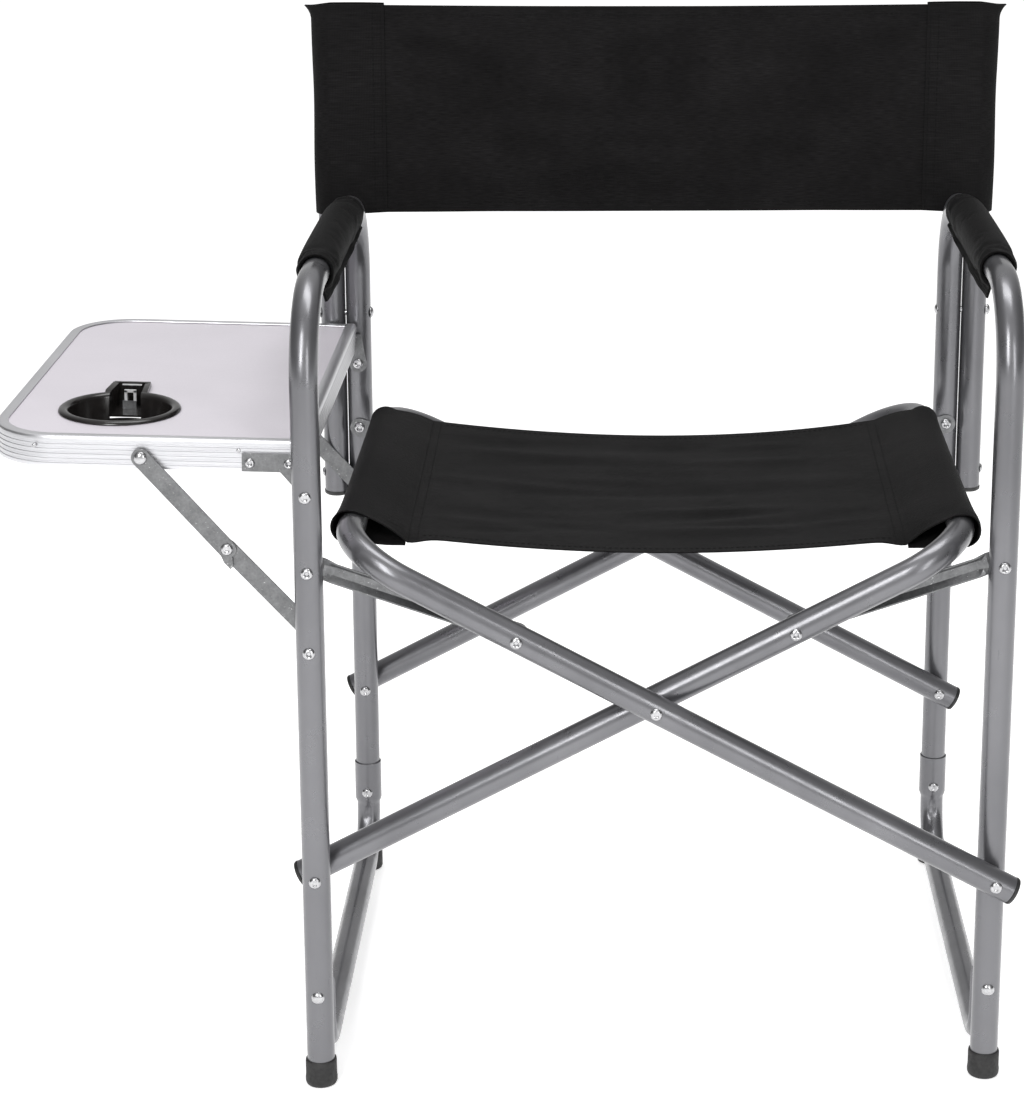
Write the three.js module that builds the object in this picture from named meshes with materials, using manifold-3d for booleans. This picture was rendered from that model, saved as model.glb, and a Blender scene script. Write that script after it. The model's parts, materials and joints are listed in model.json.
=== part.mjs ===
// Folding camp chair with a fold-down side table. Millimetres, +Z up, the sitter faces -Y.
//
// Two upright side frames are joined by two crossing U frames. Frame A starts at the left legs and
// carries the right seat rail, frame B starts at the right legs and carries the left seat rail.
// The left side frame and frame B lie in one layer; the right side frame and frame A lie one tube
// further back, so that every pivot is a rivet through two tubes that touch.
import * as THREE from 'three';
import { mergeVertices } from 'three/addons/utils/BufferGeometryUtils.js';
import Module from 'manifold-3d';

// ---- Driving dimensions ----
const TUBE = 25;
const TUBE_WALL = 1.0;
const LAYER = 25.6;
const CLEARANCE = 0.3;
const LEG_X = 301;
const DEPTH = 470;
const ARM_HEIGHT = 728;
const ARM_BEND = 78;

const SCISSOR_PIVOT_HEIGHT = 201;
const CROSS_HEIGHT = 362;
const BRACE_PIVOT_HEIGHT = 489;
const BRACE_RIVET_X = 121.5;
const SEAT_RAIL_X = 270;
const SCISSOR_BEND = 60;
const SCISSOR_STUB = 17;

const RUNNER = 24;
const RUNNER_HEIGHT = 21;
const RUNNER_BEND = 50;
const RUNNER_FRONT_BEND = 42;
const RUNNER_TAB_TOP = 104;
const RUNNER_TAB_OFFSET = 16.7;
const RUNNER_TAB_HALF = 12.4;
const SOCKET_TOP = 119;
const LEG_END_HEIGHT = 75;

const FOOT = 28.5;
const FOOT_HEIGHT = 25;
const FOOT_SOLE = 5;
const REAR_FOOT_SETBACK = 8;

const POST_BOTTOM = 419;
const POST_TOP = 914;
const POST_RIVET_HEIGHT = 607;
const BACK_BOTTOM = 710;
const BACK_TOP = 921;
const SEAT_FRONT = 80;
const SEAT_REAR = 412;
const PAD_FRONT = 106;
const PAD_REAR = 380;
const PAD_RADIUS = 19.5;
const PAD_DROP = 3;

const TABLE_PIVOT_HEIGHT = 557;
const TABLE_TILT = THREE.MathUtils.degToRad(1.2);
const TABLE_FRONT = 15.1;
const TABLE_REAR = 452.3;
const TABLE_INNER = -2;
const TABLE_OUTER = -280;
const TABLE_UNDERSIDE = 14;
const TABLE_HEIGHT = 28;
const TABLE_CORNER = 60;
const CUP_X = -179;
const CUP_Y = 109;
const CUP_RADIUS = 46.5;
const CUP_FLANGE = 54;
const CUP_BOTTOM = -1;

const STRUT_PIVOT_HEIGHT = 416;
const STRUT_ELBOW = { x: -372.5, z: 503.2 };
const STRUT_TABLE = { x: -144, z: 25 };
const STRUT_TURN = { x: -304, z: 428.7 };
const LINK = 16;
const LINK_THICK = 2;

const RIVET_SHANK = 3;
const RIVET_HEAD = 5.5;
const RIVET_SIDES = 10;
const TUBE_SIDES = 12;

const TUBE_RADIUS = TUBE / 2;
// Faceted bores and stems that clear a faceted tube however the two are turned.
const FACET = Math.cos(Math.PI / TUBE_SIDES);
const TUBE_BORE = (TUBE_RADIUS + CLEARANCE) / FACET;
const STEM_RADIUS = (TUBE_RADIUS - TUBE_WALL) * FACET - CLEARANCE;
const SLOPE = Math.atan2(CROSS_HEIGHT - SCISSOR_PIVOT_HEIGHT, LEG_X);

// ---- Finishes ----
const finish = (color, roughness, metalness) => new THREE.MeshStandardMaterial({ color, roughness, metalness });
const FINISHES = {
  tube: () => finish(0x8d8d92, 0.42, 0.55),
  rivet: () => finish(0xc9cacc, 0.28, 0.9),
  zinc: () => finish(0xaeb0b2, 0.45, 0.8),
  rubber: () => finish(0x151515, 0.75, 0.0),
  plug: () => finish(0x1a1a1a, 0.5, 0.0),
  canvas: () => finish(0x1d1d1e, 0.92, 0.0),
  foam: () => finish(0x202021, 0.95, 0.0),
  laminate: () => finish(0xd4cfd6, 0.4, 0.0),
  extrusion: () => finish(0xc4c4c6, 0.3, 0.85),
  cup: () => finish(0x101010, 0.18, 0.0),
};

// ---- Solid modelling helpers ----
const wasm = await Module();
wasm.setup();

function solid(geometry) {
  const bare = geometry.index ? geometry.toNonIndexed() : geometry.clone();
  bare.deleteAttribute('normal');
  bare.deleteAttribute('uv');
  const merged = mergeVertices(bare, 1e-4);
  return new wasm.Manifold(new wasm.Mesh({
    numProp: 3,
    vertProperties: merged.attributes.position.array,
    triVerts: new Uint32Array(merged.index.array),
  }));
}

function geometryOf(shape) {
  const { vertProperties, triVerts, numProp } = shape.getMesh();
  const positions = new Float32Array(triVerts.length * 3);
  triVerts.forEach((vertex, i) => {
    positions.set(vertProperties.subarray(vertex * numProp, vertex * numProp + 3), i * 3);
  });
  const geometry = new THREE.BufferGeometry();
  geometry.setAttribute('position', new THREE.BufferAttribute(positions, 3));
  geometry.computeVertexNormals();
  return geometry;
}

function carve(body, ...cutters) {
  return cutters.reduce((left, cutter) => left.subtract(solid(cutter)), solid(body));
}

// A polyline whose stations stay where the points are.
class Route extends THREE.Curve {
  constructor(points) {
    super();
    this.points = points;
  }

  getPoint(t, target = new THREE.Vector3()) {
    const place = Math.min(Math.max(t, 0), 1) * (this.points.length - 1);
    const first = Math.min(Math.floor(place), this.points.length - 2);
    return target.lerpVectors(this.points[first], this.points[first + 1], place - first);
  }

  getUtoTmapping(u) {
    return u;
  }
}

// The corner points with each inner corner rounded to the radius given with it.
function roundedRoute(corners, radii, steps = 6) {
  const points = [corners[0].clone()];
  for (let i = 1; i < corners.length - 1; i += 1) {
    const back = corners[i - 1].clone().sub(corners[i]).normalize();
    const ahead = corners[i + 1].clone().sub(corners[i]).normalize();
    const half = back.angleTo(ahead) / 2;
    const radius = radii[i - 1];
    const reach = radius / Math.tan(half);
    const middle = back.clone().add(ahead).normalize();
    const centre = corners[i].clone().addScaledVector(middle, radius / Math.sin(half));
    const from = corners[i].clone().addScaledVector(back, reach).sub(centre);
    const to = corners[i].clone().addScaledVector(ahead, reach).sub(centre);
    const axis = from.clone().cross(to).normalize();
    const sweep = from.angleTo(to);
    for (let k = 0; k <= steps; k += 1) {
      points.push(from.clone().applyAxisAngle(axis, (sweep * k) / steps).add(centre));
    }
  }
  points.push(corners[corners.length - 1].clone());
  return points;
}

function ring(radius, sides, centre = new THREE.Vector2()) {
  return Array.from({ length: sides }, (_, i) => {
    const angle = (2 * Math.PI * i) / sides;
    return new THREE.Vector2(centre.x + radius * Math.cos(angle), centre.y + radius * Math.sin(angle));
  });
}

function sweep(section, points) {
  return new THREE.ExtrudeGeometry(section, {
    steps: points.length - 1,
    extrudePath: new Route(points),
    bevelEnabled: false,
  });
}

function tube(points, diameter = TUBE, wall = TUBE_WALL) {
  const section = new THREE.Shape(ring(diameter / 2, TUBE_SIDES));
  if (wall) {
    section.holes.push(new THREE.Path(ring(diameter / 2 - wall, TUBE_SIDES)));
  }
  return sweep(section, points);
}

// A prism with its outline in the XZ plane, between two depths.
function plate(outline, near, far) {
  const shape = outline instanceof THREE.Shape ? outline : new THREE.Shape(outline);
  const geometry = new THREE.ExtrudeGeometry(shape, { depth: far - near, bevelEnabled: false, curveSegments: 6 });
  return geometry.rotateX(Math.PI / 2).translate(0, far, 0);
}

// A round bar along Y.
function bar(radius, x, z, near, far, sides = RIVET_SIDES) {
  return new THREE.CylinderGeometry(radius, radius, far - near, sides).translate(x, (near + far) / 2, z);
}

// ---- Rivets ----
// The head stands before the face at `near`, and the upset end behind the face at `far`.
function rivet({ x, z, near, far, head = true, tail = true, collar = null, shank = RIVET_SHANK }) {
  const gap = CLEARANCE;
  const profile = [];
  if (head) {
    profile.push([0, near - 3.2], [RIVET_HEAD * 0.55, near - 2.9], [RIVET_HEAD, near - 1.1]);
    profile.push([RIVET_HEAD, near - gap], [shank, near - gap]);
  } else {
    profile.push([0, near], [shank, near]);
  }
  if (collar) {
    profile.push([shank, collar.near], [collar.radius, collar.near]);
    profile.push([collar.radius, collar.far], [shank, collar.far]);
  }
  if (tail) {
    profile.push([shank, far + gap], [RIVET_HEAD * 0.85, far + gap], [RIVET_HEAD * 0.6, far + 1.9], [0, far + 1.9]);
  } else {
    profile.push([shank, far], [0, far]);
  }
  const points = profile.map(([radius, depth]) => new THREE.Vector2(radius, depth));
  return new THREE.LatheGeometry(points, RIVET_SIDES).translate(x, 0, z);
}

const rivetHole = (x, z, near, far) => bar(RIVET_SHANK + CLEARANCE, x, z, near, far);

// ---- Side frames ----
const SIDES = [
  { name: 'left', x: -LEG_X, layer: 0 },
  { name: 'right', x: LEG_X, layer: LAYER },
];

function armFrame({ name, x, layer }) {
  const corners = [
    new THREE.Vector3(x, layer, FOOT_SOLE + CLEARANCE),
    new THREE.Vector3(x, layer, ARM_HEIGHT),
    new THREE.Vector3(x, layer + DEPTH, ARM_HEIGHT),
    new THREE.Vector3(x, layer + DEPTH, LEG_END_HEIGHT),
  ];
  const heights = [SCISSOR_PIVOT_HEIGHT, BRACE_PIVOT_HEIGHT];
  if (name === 'left') {
    heights.push(TABLE_PIVOT_HEIGHT, STRUT_PIVOT_HEIGHT);
  }
  const holes = heights.map((z) => rivetHole(x, z, layer - TUBE, layer + DEPTH + TUBE));
  const post = postRivetHole(x, layer + DEPTH);
  return carve(tube(roundedRoute(corners, [ARM_BEND, ARM_BEND])), ...holes, post);
}

function postRivetHole(x, y) {
  const reach = 2 * LAYER + TUBE;
  return new THREE.CylinderGeometry(RIVET_SHANK + CLEARANCE, RIVET_SHANK + CLEARANCE, reach, RIVET_SIDES)
    .rotateZ(Math.PI / 2)
    .translate(x, y, POST_RIVET_HEIGHT);
}

// The front end of the lower side rail is pressed flat where it turns up behind the front leg.
function flattenFrontEnd(geometry, middle, layer) {
  const centre = { y: layer + RUNNER_TAB_OFFSET + RUNNER_FRONT_BEND, z: RUNNER_HEIGHT + RUNNER_FRONT_BEND };
  const flat = { width: 1.03, depth: 0.3 };
  const position = geometry.attributes.position;
  for (let i = 0; i < position.count; i += 1) {
    const y = position.getY(i);
    const z = position.getZ(i);
    if (y < centre.y) {
      const above = z > centre.z;
      const angle = above ? Math.PI / 2 : Math.atan2(centre.y - y, centre.z - z);
      const share = THREE.MathUtils.smoothstep(angle, 0.25, 1.35);
      const wide = THREE.MathUtils.lerp(1, flat.width, share);
      const deep = THREE.MathUtils.lerp(1, flat.depth, share);
      position.setX(i, middle + (position.getX(i) - middle) * wide);
      if (above) {
        const route = centre.y - RUNNER_FRONT_BEND;
        position.setY(i, route + (y - route) * deep);
      } else {
        const radius = Math.hypot(centre.y - y, centre.z - z);
        const pressed = RUNNER_FRONT_BEND + (radius - RUNNER_FRONT_BEND) * deep;
        position.setY(i, centre.y - pressed * Math.sin(angle));
        position.setZ(i, centre.z - pressed * Math.cos(angle));
      }
    }
  }
  return geometry;
}

function runnerRoute(x, layer) {
  const tab = layer + RUNNER_TAB_OFFSET;
  const corners = [
    new THREE.Vector3(x, layer + DEPTH, LEG_END_HEIGHT),
    new THREE.Vector3(x, layer + DEPTH, RUNNER_HEIGHT),
    new THREE.Vector3(x, tab, RUNNER_HEIGHT),
    new THREE.Vector3(x, tab, RUNNER_TAB_TOP),
  ];
  return { corners, radii: [RUNNER_BEND, RUNNER_FRONT_BEND] };
}

function sideRail({ x, layer }) {
  const { corners, radii } = runnerRoute(x, layer);
  const outer = tube(roundedRoute(corners, radii, 7), RUNNER, 0);
  const skin = solid(flattenFrontEnd(outer, x, layer));
  const openEnd = corners[2].clone().setY(layer + 2 * RUNNER_FRONT_BEND);
  const innerRoute = roundedRoute([corners[0], corners[1], openEnd], [RUNNER_BEND], 7);
  const bore = solid(tube(innerRoute, RUNNER - 2 * TUBE_WALL, 0));
  const socketRadius = TUBE_BORE + TUBE_WALL;
  const socketDepth = SOCKET_TOP - LEG_END_HEIGHT;
  const socketProfile = [
    [0, -8], [RUNNER / 2, -8], [socketRadius, -3], [socketRadius, socketDepth], [0, socketDepth],
  ];
  const socket = standing(socketProfile, x, layer + DEPTH, LEG_END_HEIGHT);
  const cavityProfile = [[0, -1], [TUBE_BORE, -1], [TUBE_BORE, SOCKET_TOP], [0, SOCKET_TOP]];
  const cavity = standing(cavityProfile, x, layer + DEPTH, LEG_END_HEIGHT);
  return skin.add(solid(socket)).subtract(bore).subtract(solid(cavity)).subtract(tabTrim(x, layer));
}

// What the press trims off the top corners of the flattened end.
function tabTrim(x, layer) {
  const size = 40;
  const shoulder = RUNNER_TAB_TOP - RUNNER_TAB_HALF;
  const block = new THREE.BoxGeometry(size, size / 2, size)
    .translate(x, layer + RUNNER_TAB_OFFSET, shoulder + size / 2);
  const rounded = bar(RUNNER_TAB_HALF, x, shoulder, layer, layer + size, 20);
  return solid(block).subtract(solid(rounded));
}

// A turned piece standing on the axis x, y, from [radius, height] pairs, lowest first.
function standing(profile, x, y, z, sides = TUBE_SIDES) {
  const points = profile.map(([radius, height]) => new THREE.Vector2(radius, height));
  return new THREE.LatheGeometry(points, sides).rotateX(Math.PI / 2).translate(x, y, z);
}

function frontFoot({ x, layer }) {
  const outer = FOOT / 2 + 0.4;
  const profile = [
    [0, 0], [outer - 1.5, 0], [outer, 2], [outer - 0.3, FOOT_HEIGHT],
    [TUBE_BORE, FOOT_HEIGHT], [TUBE_BORE, FOOT_SOLE], [0, FOOT_SOLE],
  ];
  return solid(standing(profile, x, layer, 0, 18));
}

function rearFoot({ x, layer }) {
  const radius = FOOT / 2;
  const profile = [[0, 0], [radius - 1.5, 0], [radius, 2], [radius, FOOT_HEIGHT], [0, FOOT_HEIGHT]];
  const block = standing(profile, x, layer + DEPTH - REAR_FOOT_SETBACK, 0, 18);
  const { corners, radii } = runnerRoute(x, layer);
  const space = tube(roundedRoute(corners, radii, 7), RUNNER + 2 * CLEARANCE + 0.4, 0);
  return carve(block, space);
}

function backPost({ x, layer }) {
  const outward = Math.sign(x) * LAYER;
  const points = [POST_BOTTOM, POST_TOP].map((z) => new THREE.Vector3(x + outward, layer + DEPTH, z));
  return carve(tube(points), postRivetHole(x, layer + DEPTH));
}

function postCap({ x, layer }) {
  const flange = TUBE_RADIUS;
  const profile = [
    [0, -4], [flange - 1.5, -4], [flange, -2.5], [flange, -CLEARANCE],
    [STEM_RADIUS, -CLEARANCE], [STEM_RADIUS, 9], [0, 9],
  ];
  return solid(standing(profile, x + Math.sign(x) * LAYER, layer + DEPTH, POST_BOTTOM));
}

// Lies across, through post and leg, with its head on the outer side.
function postRivet({ x, layer }) {
  const geometry = rivet({ x: 0, z: 0, near: -LAYER - TUBE_RADIUS, far: TUBE_RADIUS });
  return solid(geometry.rotateZ(x < 0 ? -Math.PI / 2 : Math.PI / 2).translate(x, layer + DEPTH, POST_RIVET_HEIGHT));
}

function armPad({ x, layer }) {
  const shape = new THREE.Shape(ring(PAD_RADIUS, 18, new THREE.Vector2(x, ARM_HEIGHT - PAD_DROP)));
  shape.holes.push(new THREE.Path(ring(TUBE_BORE, TUBE_SIDES, new THREE.Vector2(x, ARM_HEIGHT))));
  return solid(plate(shape, layer + PAD_FRONT, layer + PAD_REAR));
}

// ---- Scissor frames ----
// `side` is the side of the frame's seat rail: +1 for frame A, -1 for frame B.
const SCISSORS = [
  { name: 'a', side: 1, layer: LAYER },
  { name: 'b', side: -1, layer: 0 },
];
const RAIL_HEIGHT = CROSS_HEIGHT + SEAT_RAIL_X * Math.tan(SLOPE);
const BRACE_RIVET_HEIGHT = CROSS_HEIGHT + BRACE_RIVET_X * Math.tan(SLOPE);

function scissorEnd({ side, layer }, y, past) {
  const x = -side * (LEG_X + past * Math.cos(SLOPE));
  return new THREE.Vector3(x, layer + y, SCISSOR_PIVOT_HEIGHT - past * Math.sin(SLOPE));
}

function scissorFrame(scissor) {
  const { side, layer } = scissor;
  const corners = [
    scissorEnd(scissor, 0, SCISSOR_STUB),
    new THREE.Vector3(side * SEAT_RAIL_X, layer, RAIL_HEIGHT),
    new THREE.Vector3(side * SEAT_RAIL_X, layer + DEPTH, RAIL_HEIGHT),
    scissorEnd(scissor, DEPTH, SCISSOR_STUB),
  ];
  const holes = [
    [-side * LEG_X, SCISSOR_PIVOT_HEIGHT],
    [0, CROSS_HEIGHT],
    [side * BRACE_RIVET_X, BRACE_RIVET_HEIGHT],
  ].map(([x, z]) => rivetHole(x, z, layer - TUBE, layer + DEPTH + TUBE));
  return carve(tube(roundedRoute(corners, [SCISSOR_BEND, SCISSOR_BEND])), ...holes);
}

function scissorPlug(scissor, y) {
  const stemEnd = -(SCISSOR_STUB - RIVET_SHANK - 2);
  const profile = [[0, stemEnd], [STEM_RADIUS, stemEnd], [STEM_RADIUS, CLEARANCE], [TUBE_RADIUS, CLEARANCE]];
  profile.push([TUBE_RADIUS, 2.6], [TUBE_RADIUS - 1.4, 3.6], [0, 3.6]);
  const points = profile.map(([radius, height]) => new THREE.Vector2(radius, height));
  const end = scissorEnd(scissor, y, SCISSOR_STUB);
  const outward = new THREE.Vector3(-scissor.side * Math.cos(SLOPE), 0, -Math.sin(SLOPE));
  const turn = new THREE.Quaternion().setFromUnitVectors(new THREE.Vector3(0, 1, 0), outward);
  return solid(new THREE.LatheGeometry(points, TUBE_SIDES).applyQuaternion(turn).translate(end.x, end.y, end.z));
}

// ---- Braces ----
const BRACE_HALF = 9.5;
const BRACE_CHANNEL = 5;
const BRACE_THICK = 1.5;

// A pressed strap: flat round ends, and between them a channel that opens toward its leg.
// `away` is the direction in Y from the leg's face to the strap.
function brace({ side, face, away }) {
  const from = new THREE.Vector2(side * LEG_X, BRACE_PIVOT_HEIGHT);
  const to = new THREE.Vector2(side * BRACE_RIVET_X, BRACE_RIVET_HEIGHT);
  const length = from.distanceTo(to);
  const half = BRACE_HALF;
  const columns = [-half, -half + 1.2, -4, 4, half - 1.2, half];
  const stations = [-half, 12, 17, 22, length - 22, length - 17, length - 12, length + half];
  const sink = [0, 0, 0.5, 1, 1, 0.5, 0, 0];
  const lower = -side * Math.sign(away);
  const grid = new THREE.BoxGeometry(1, 1, 1, stations.length - 1, columns.length - 1, 1);
  const position = grid.attributes.position;
  for (let i = 0; i < position.count; i += 1) {
    const station = Math.round((position.getX(i) + 0.5) * (stations.length - 1));
    const column = Math.round((position.getY(i) + 0.5) * (columns.length - 1));
    const inWeb = column === 2 || column === 3;
    const depth = position.getZ(i) < 0 ? 0 : BRACE_THICK;
    const narrowing = columns[column] * lower > 0 ? 1 + 0.1 * sink[station] : 1 - 0.2 * sink[station];
    const raised = inWeb ? BRACE_CHANNEL * sink[station] : 0;
    position.setXYZ(i, stations[station], columns[column] * narrowing, depth + raised);
  }
  const outline = new THREE.Shape();
  outline.absarc(0, 0, half, Math.PI / 2, 1.5 * Math.PI);
  outline.lineTo(30, -half - 3);
  outline.lineTo(length - 30, -half - 3);
  outline.absarc(length, 0, half, -Math.PI / 2, Math.PI / 2);
  outline.lineTo(length - 30, half + 3);
  outline.lineTo(30, half + 3);
  const prism = new THREE.ExtrudeGeometry(outline, { depth: 20, bevelEnabled: false, curveSegments: 7 });
  prism.translate(0, 0, -5);
  let strap = solid(grid).intersect(solid(prism));
  [0, length].forEach((at) => {
    const hole = new THREE.CylinderGeometry(RIVET_SHANK + CLEARANCE, RIVET_SHANK + CLEARANCE, 20, RIVET_SIDES);
    strap = strap.subtract(solid(hole.rotateX(Math.PI / 2).translate(at, 0, 0)));
  });
  const along = to.clone().sub(from).normalize();
  const xAxis = new THREE.Vector3(along.x, 0, along.y);
  const zAxis = new THREE.Vector3(0, Math.sign(away), 0);
  const yAxis = zAxis.clone().cross(xAxis);
  const place = new THREE.Matrix4().makeBasis(xAxis, yAxis, zAxis).setPosition(from.x, face + away, from.y);
  return solid(geometryOf(strap).applyMatrix4(place));
}

// ---- Side table ----
const TRIM_LIP = 10;
const TRIM_WALL = 1.6;
const TRIM_SHEET = 1.4;
const BOARD = 4.6;
const CUP_WALL = 1.5;
const CUP_SLOT = { x: CUP_X - 3, width: 28, end: CUP_Y + 90 };

// Drawn with its hinge axis at x = 0, z = 0, and level.
function trimSection() {
  const top = -(TABLE_UNDERSIDE + TABLE_HEIGHT);
  const bottom = -TABLE_UNDERSIDE;
  const ledge = top + TRIM_SHEET + BOARD + 2 * CLEARANCE;
  const groove = 0.6;
  const outline = [
    [top, groove], [top, TRIM_LIP], [top + TRIM_SHEET, TRIM_LIP], [top + TRIM_SHEET, TRIM_WALL],
    [ledge, TRIM_WALL], [ledge, TRIM_LIP - 3], [ledge + TRIM_SHEET, TRIM_LIP - 3], [ledge + TRIM_SHEET, TRIM_WALL],
    [bottom - TRIM_SHEET, TRIM_WALL], [bottom - TRIM_SHEET, TRIM_LIP - 2],
    [bottom, TRIM_LIP - 2], [bottom, groove], [bottom - groove, 0],
  ];
  [0.25, 0.5, 0.75].forEach((share) => {
    const middle = bottom - TABLE_HEIGHT * share;
    outline.push([middle + 1, 0], [middle + 0.6, groove], [middle - 0.6, groove], [middle - 1, 0]);
  });
  outline.push([top + groove, 0]);
  return new THREE.Shape(outline.map(([down, inward]) => new THREE.Vector2(down, inward)));
}

function tableTrim() {
  const inner = TABLE_INNER - TRIM_LIP - CLEARANCE;
  const corners = [
    new THREE.Vector3(inner, TABLE_REAR, 0),
    new THREE.Vector3(TABLE_OUTER, TABLE_REAR, 0),
    new THREE.Vector3(TABLE_OUTER, TABLE_FRONT, 0),
    new THREE.Vector3(inner, TABLE_FRONT, 0),
  ];
  const body = sweep(trimSection(), roundedRoute(corners, [TABLE_CORNER, TABLE_CORNER], 7));
  const holes = [[TABLE_FRONT - 5, TABLE_FRONT + 8], [TABLE_REAR - 8, TABLE_REAR + 5]]
    .map(([near, far]) => rivetHole(STRUT_TABLE.x, STRUT_TABLE.z, near, far));
  return carve(body, ...holes);
}

function tableInnerRail() {
  const points = [TABLE_FRONT, TABLE_REAR].map((y) => new THREE.Vector3(TABLE_INNER, y, 0));
  return solid(sweep(trimSection(), points));
}

function tablePanel() {
  const edge = 2.2;
  const left = TABLE_OUTER + edge;
  const right = TABLE_INNER - edge;
  const near = TABLE_FRONT + edge;
  const far = TABLE_REAR - edge;
  const radius = TABLE_CORNER - edge;
  const shape = new THREE.Shape();
  shape.moveTo(right, near);
  shape.lineTo(right, far);
  shape.lineTo(left + radius, far);
  shape.absarc(left + radius, far - radius, radius, Math.PI / 2, Math.PI);
  shape.lineTo(left, near + radius);
  shape.absarc(left + radius, near + radius, radius, Math.PI, 1.5 * Math.PI);
  shape.closePath();
  const top = TABLE_UNDERSIDE + TABLE_HEIGHT - TRIM_SHEET - CLEARANCE;
  const board = new THREE.ExtrudeGeometry(shape, { depth: BOARD, bevelEnabled: false, curveSegments: 7 });
  board.translate(0, 0, top - BOARD);
  const opening = CUP_RADIUS + 1;
  const round = standing([[0, 0], [opening, 0], [opening, 60], [0, 60]], CUP_X, CUP_Y, 0, 28);
  const slot = new THREE.BoxGeometry(CUP_SLOT.width + 2, 52, 60).translate(CUP_SLOT.x, CUP_Y + CUP_RADIUS + 14, top);
  return carve(board, round, slot);
}

function cupHolder() {
  const rim = TABLE_UNDERSIDE + TABLE_HEIGHT - TRIM_SHEET;
  const inside = CUP_RADIUS - CUP_WALL;
  const floor = CUP_BOTTOM + CUP_WALL;
  const profile = [
    [0, CUP_BOTTOM], [CUP_RADIUS - 4, CUP_BOTTOM], [CUP_RADIUS, CUP_BOTTOM + 4], [CUP_RADIUS, rim],
    [CUP_FLANGE, rim], [CUP_FLANGE - 1, rim + 2.6], [CUP_FLANGE - 4, rim + 3.6], [inside, rim + 1.8],
    [inside, floor + 4], [CUP_RADIUS - 4, floor], [0, floor],
  ];
  const bowl = solid(standing(profile, CUP_X, CUP_Y, 0, 28));
  const slotStart = CUP_Y + CUP_RADIUS - 6;
  const middle = (slotStart + CUP_SLOT.end) / 2;
  const long = CUP_SLOT.end - slotStart;
  const body = new THREE.BoxGeometry(CUP_SLOT.width, long - 4, 24).translate(CUP_SLOT.x, middle - 2, rim - 12);
  const flange = new THREE.BoxGeometry(CUP_SLOT.width + 8, long, 3).translate(CUP_SLOT.x, middle, rim + 1.5);
  const space = standing([[0, floor], [inside, CUP_BOTTOM + 6], [inside, 80], [0, 80]], CUP_X, CUP_Y, 0, 28);
  const pocket = new THREE.BoxGeometry(CUP_SLOT.width - 2 * CUP_WALL, long + 4, 40)
    .translate(CUP_SLOT.x, middle - 10, rim);
  return bowl.add(solid(body)).add(solid(flange)).subtract(solid(space)).subtract(solid(pocket));
}

function tableHinge(near, far) {
  const outline = new THREE.Shape();
  const foot = TABLE_UNDERSIDE + 0.8;
  const head = foot + LINK;
  outline.moveTo(-57, foot);
  outline.lineTo(-24, foot);
  outline.absarc(0, 0, 9, Math.PI * 1.1, Math.PI * 2.15);
  outline.lineTo(3, head);
  outline.lineTo(-57, head);
  return carve(plate(outline, near, far), rivetHole(0, 0, near - 5, far + 5));
}

function tablePoint({ x, z }) {
  return {
    x: -LEG_X + x * Math.cos(TABLE_TILT) + z * Math.sin(TABLE_TILT),
    z: TABLE_PIVOT_HEIGHT - x * Math.sin(TABLE_TILT) + z * Math.cos(TABLE_TILT),
  };
}

// ---- Table struts ----
// A flat link through the given centre points, with round ends and a rivet hole at each end.
function link(centres, near, far, holes) {
  let body = null;
  const half = LINK / 2;
  for (let i = 0; i + 1 < centres.length; i += 1) {
    const from = new THREE.Vector2(centres[i].x, centres[i].z);
    const to = new THREE.Vector2(centres[i + 1].x, centres[i + 1].z);
    const heading = Math.atan2(to.y - from.y, to.x - from.x);
    const shape = new THREE.Shape();
    shape.absarc(from.x, from.y, half, heading + Math.PI / 2, heading + 1.5 * Math.PI);
    shape.absarc(to.x, to.y, half, heading - Math.PI / 2, heading + Math.PI / 2);
    const piece = solid(plate(shape, near, far));
    body = body ? body.add(piece) : piece;
  }
  holes.forEach(({ x, z }) => {
    body = body.subtract(solid(rivetHole(x, z, near - 5, far + 5)));
  });
  return body;
}

// An ear of the upper link, folded over the lower link's outer edge, which stops the elbow at rest.
function stopTab(near, thick, reachNear, reachFar) {
  const elbowAt = new THREE.Vector2(STRUT_ELBOW.x, STRUT_ELBOW.z);
  const along = new THREE.Vector2(STRUT_TURN.x, STRUT_TURN.z).sub(elbowAt).normalize();
  const outward = new THREE.Vector2(along.y, -along.x);
  const at = (u, v) => elbowAt.clone().addScaledVector(along, u).addScaledVector(outward, v);
  const inner = LINK / 2 + CLEARANCE;
  const outer = inner + LINK_THICK;
  const earOutline = [at(0, 0), at(9, 2), at(15, 7), at(15, outer), at(7, outer), at(-2, LINK / 2 - 1)];
  const ear = plate(earOutline, near, near + thick);
  const fold = plate([at(7, inner), at(15, inner), at(15, outer), at(7, outer)], reachNear, reachFar);
  return solid(ear).add(solid(fold));
}

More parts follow.
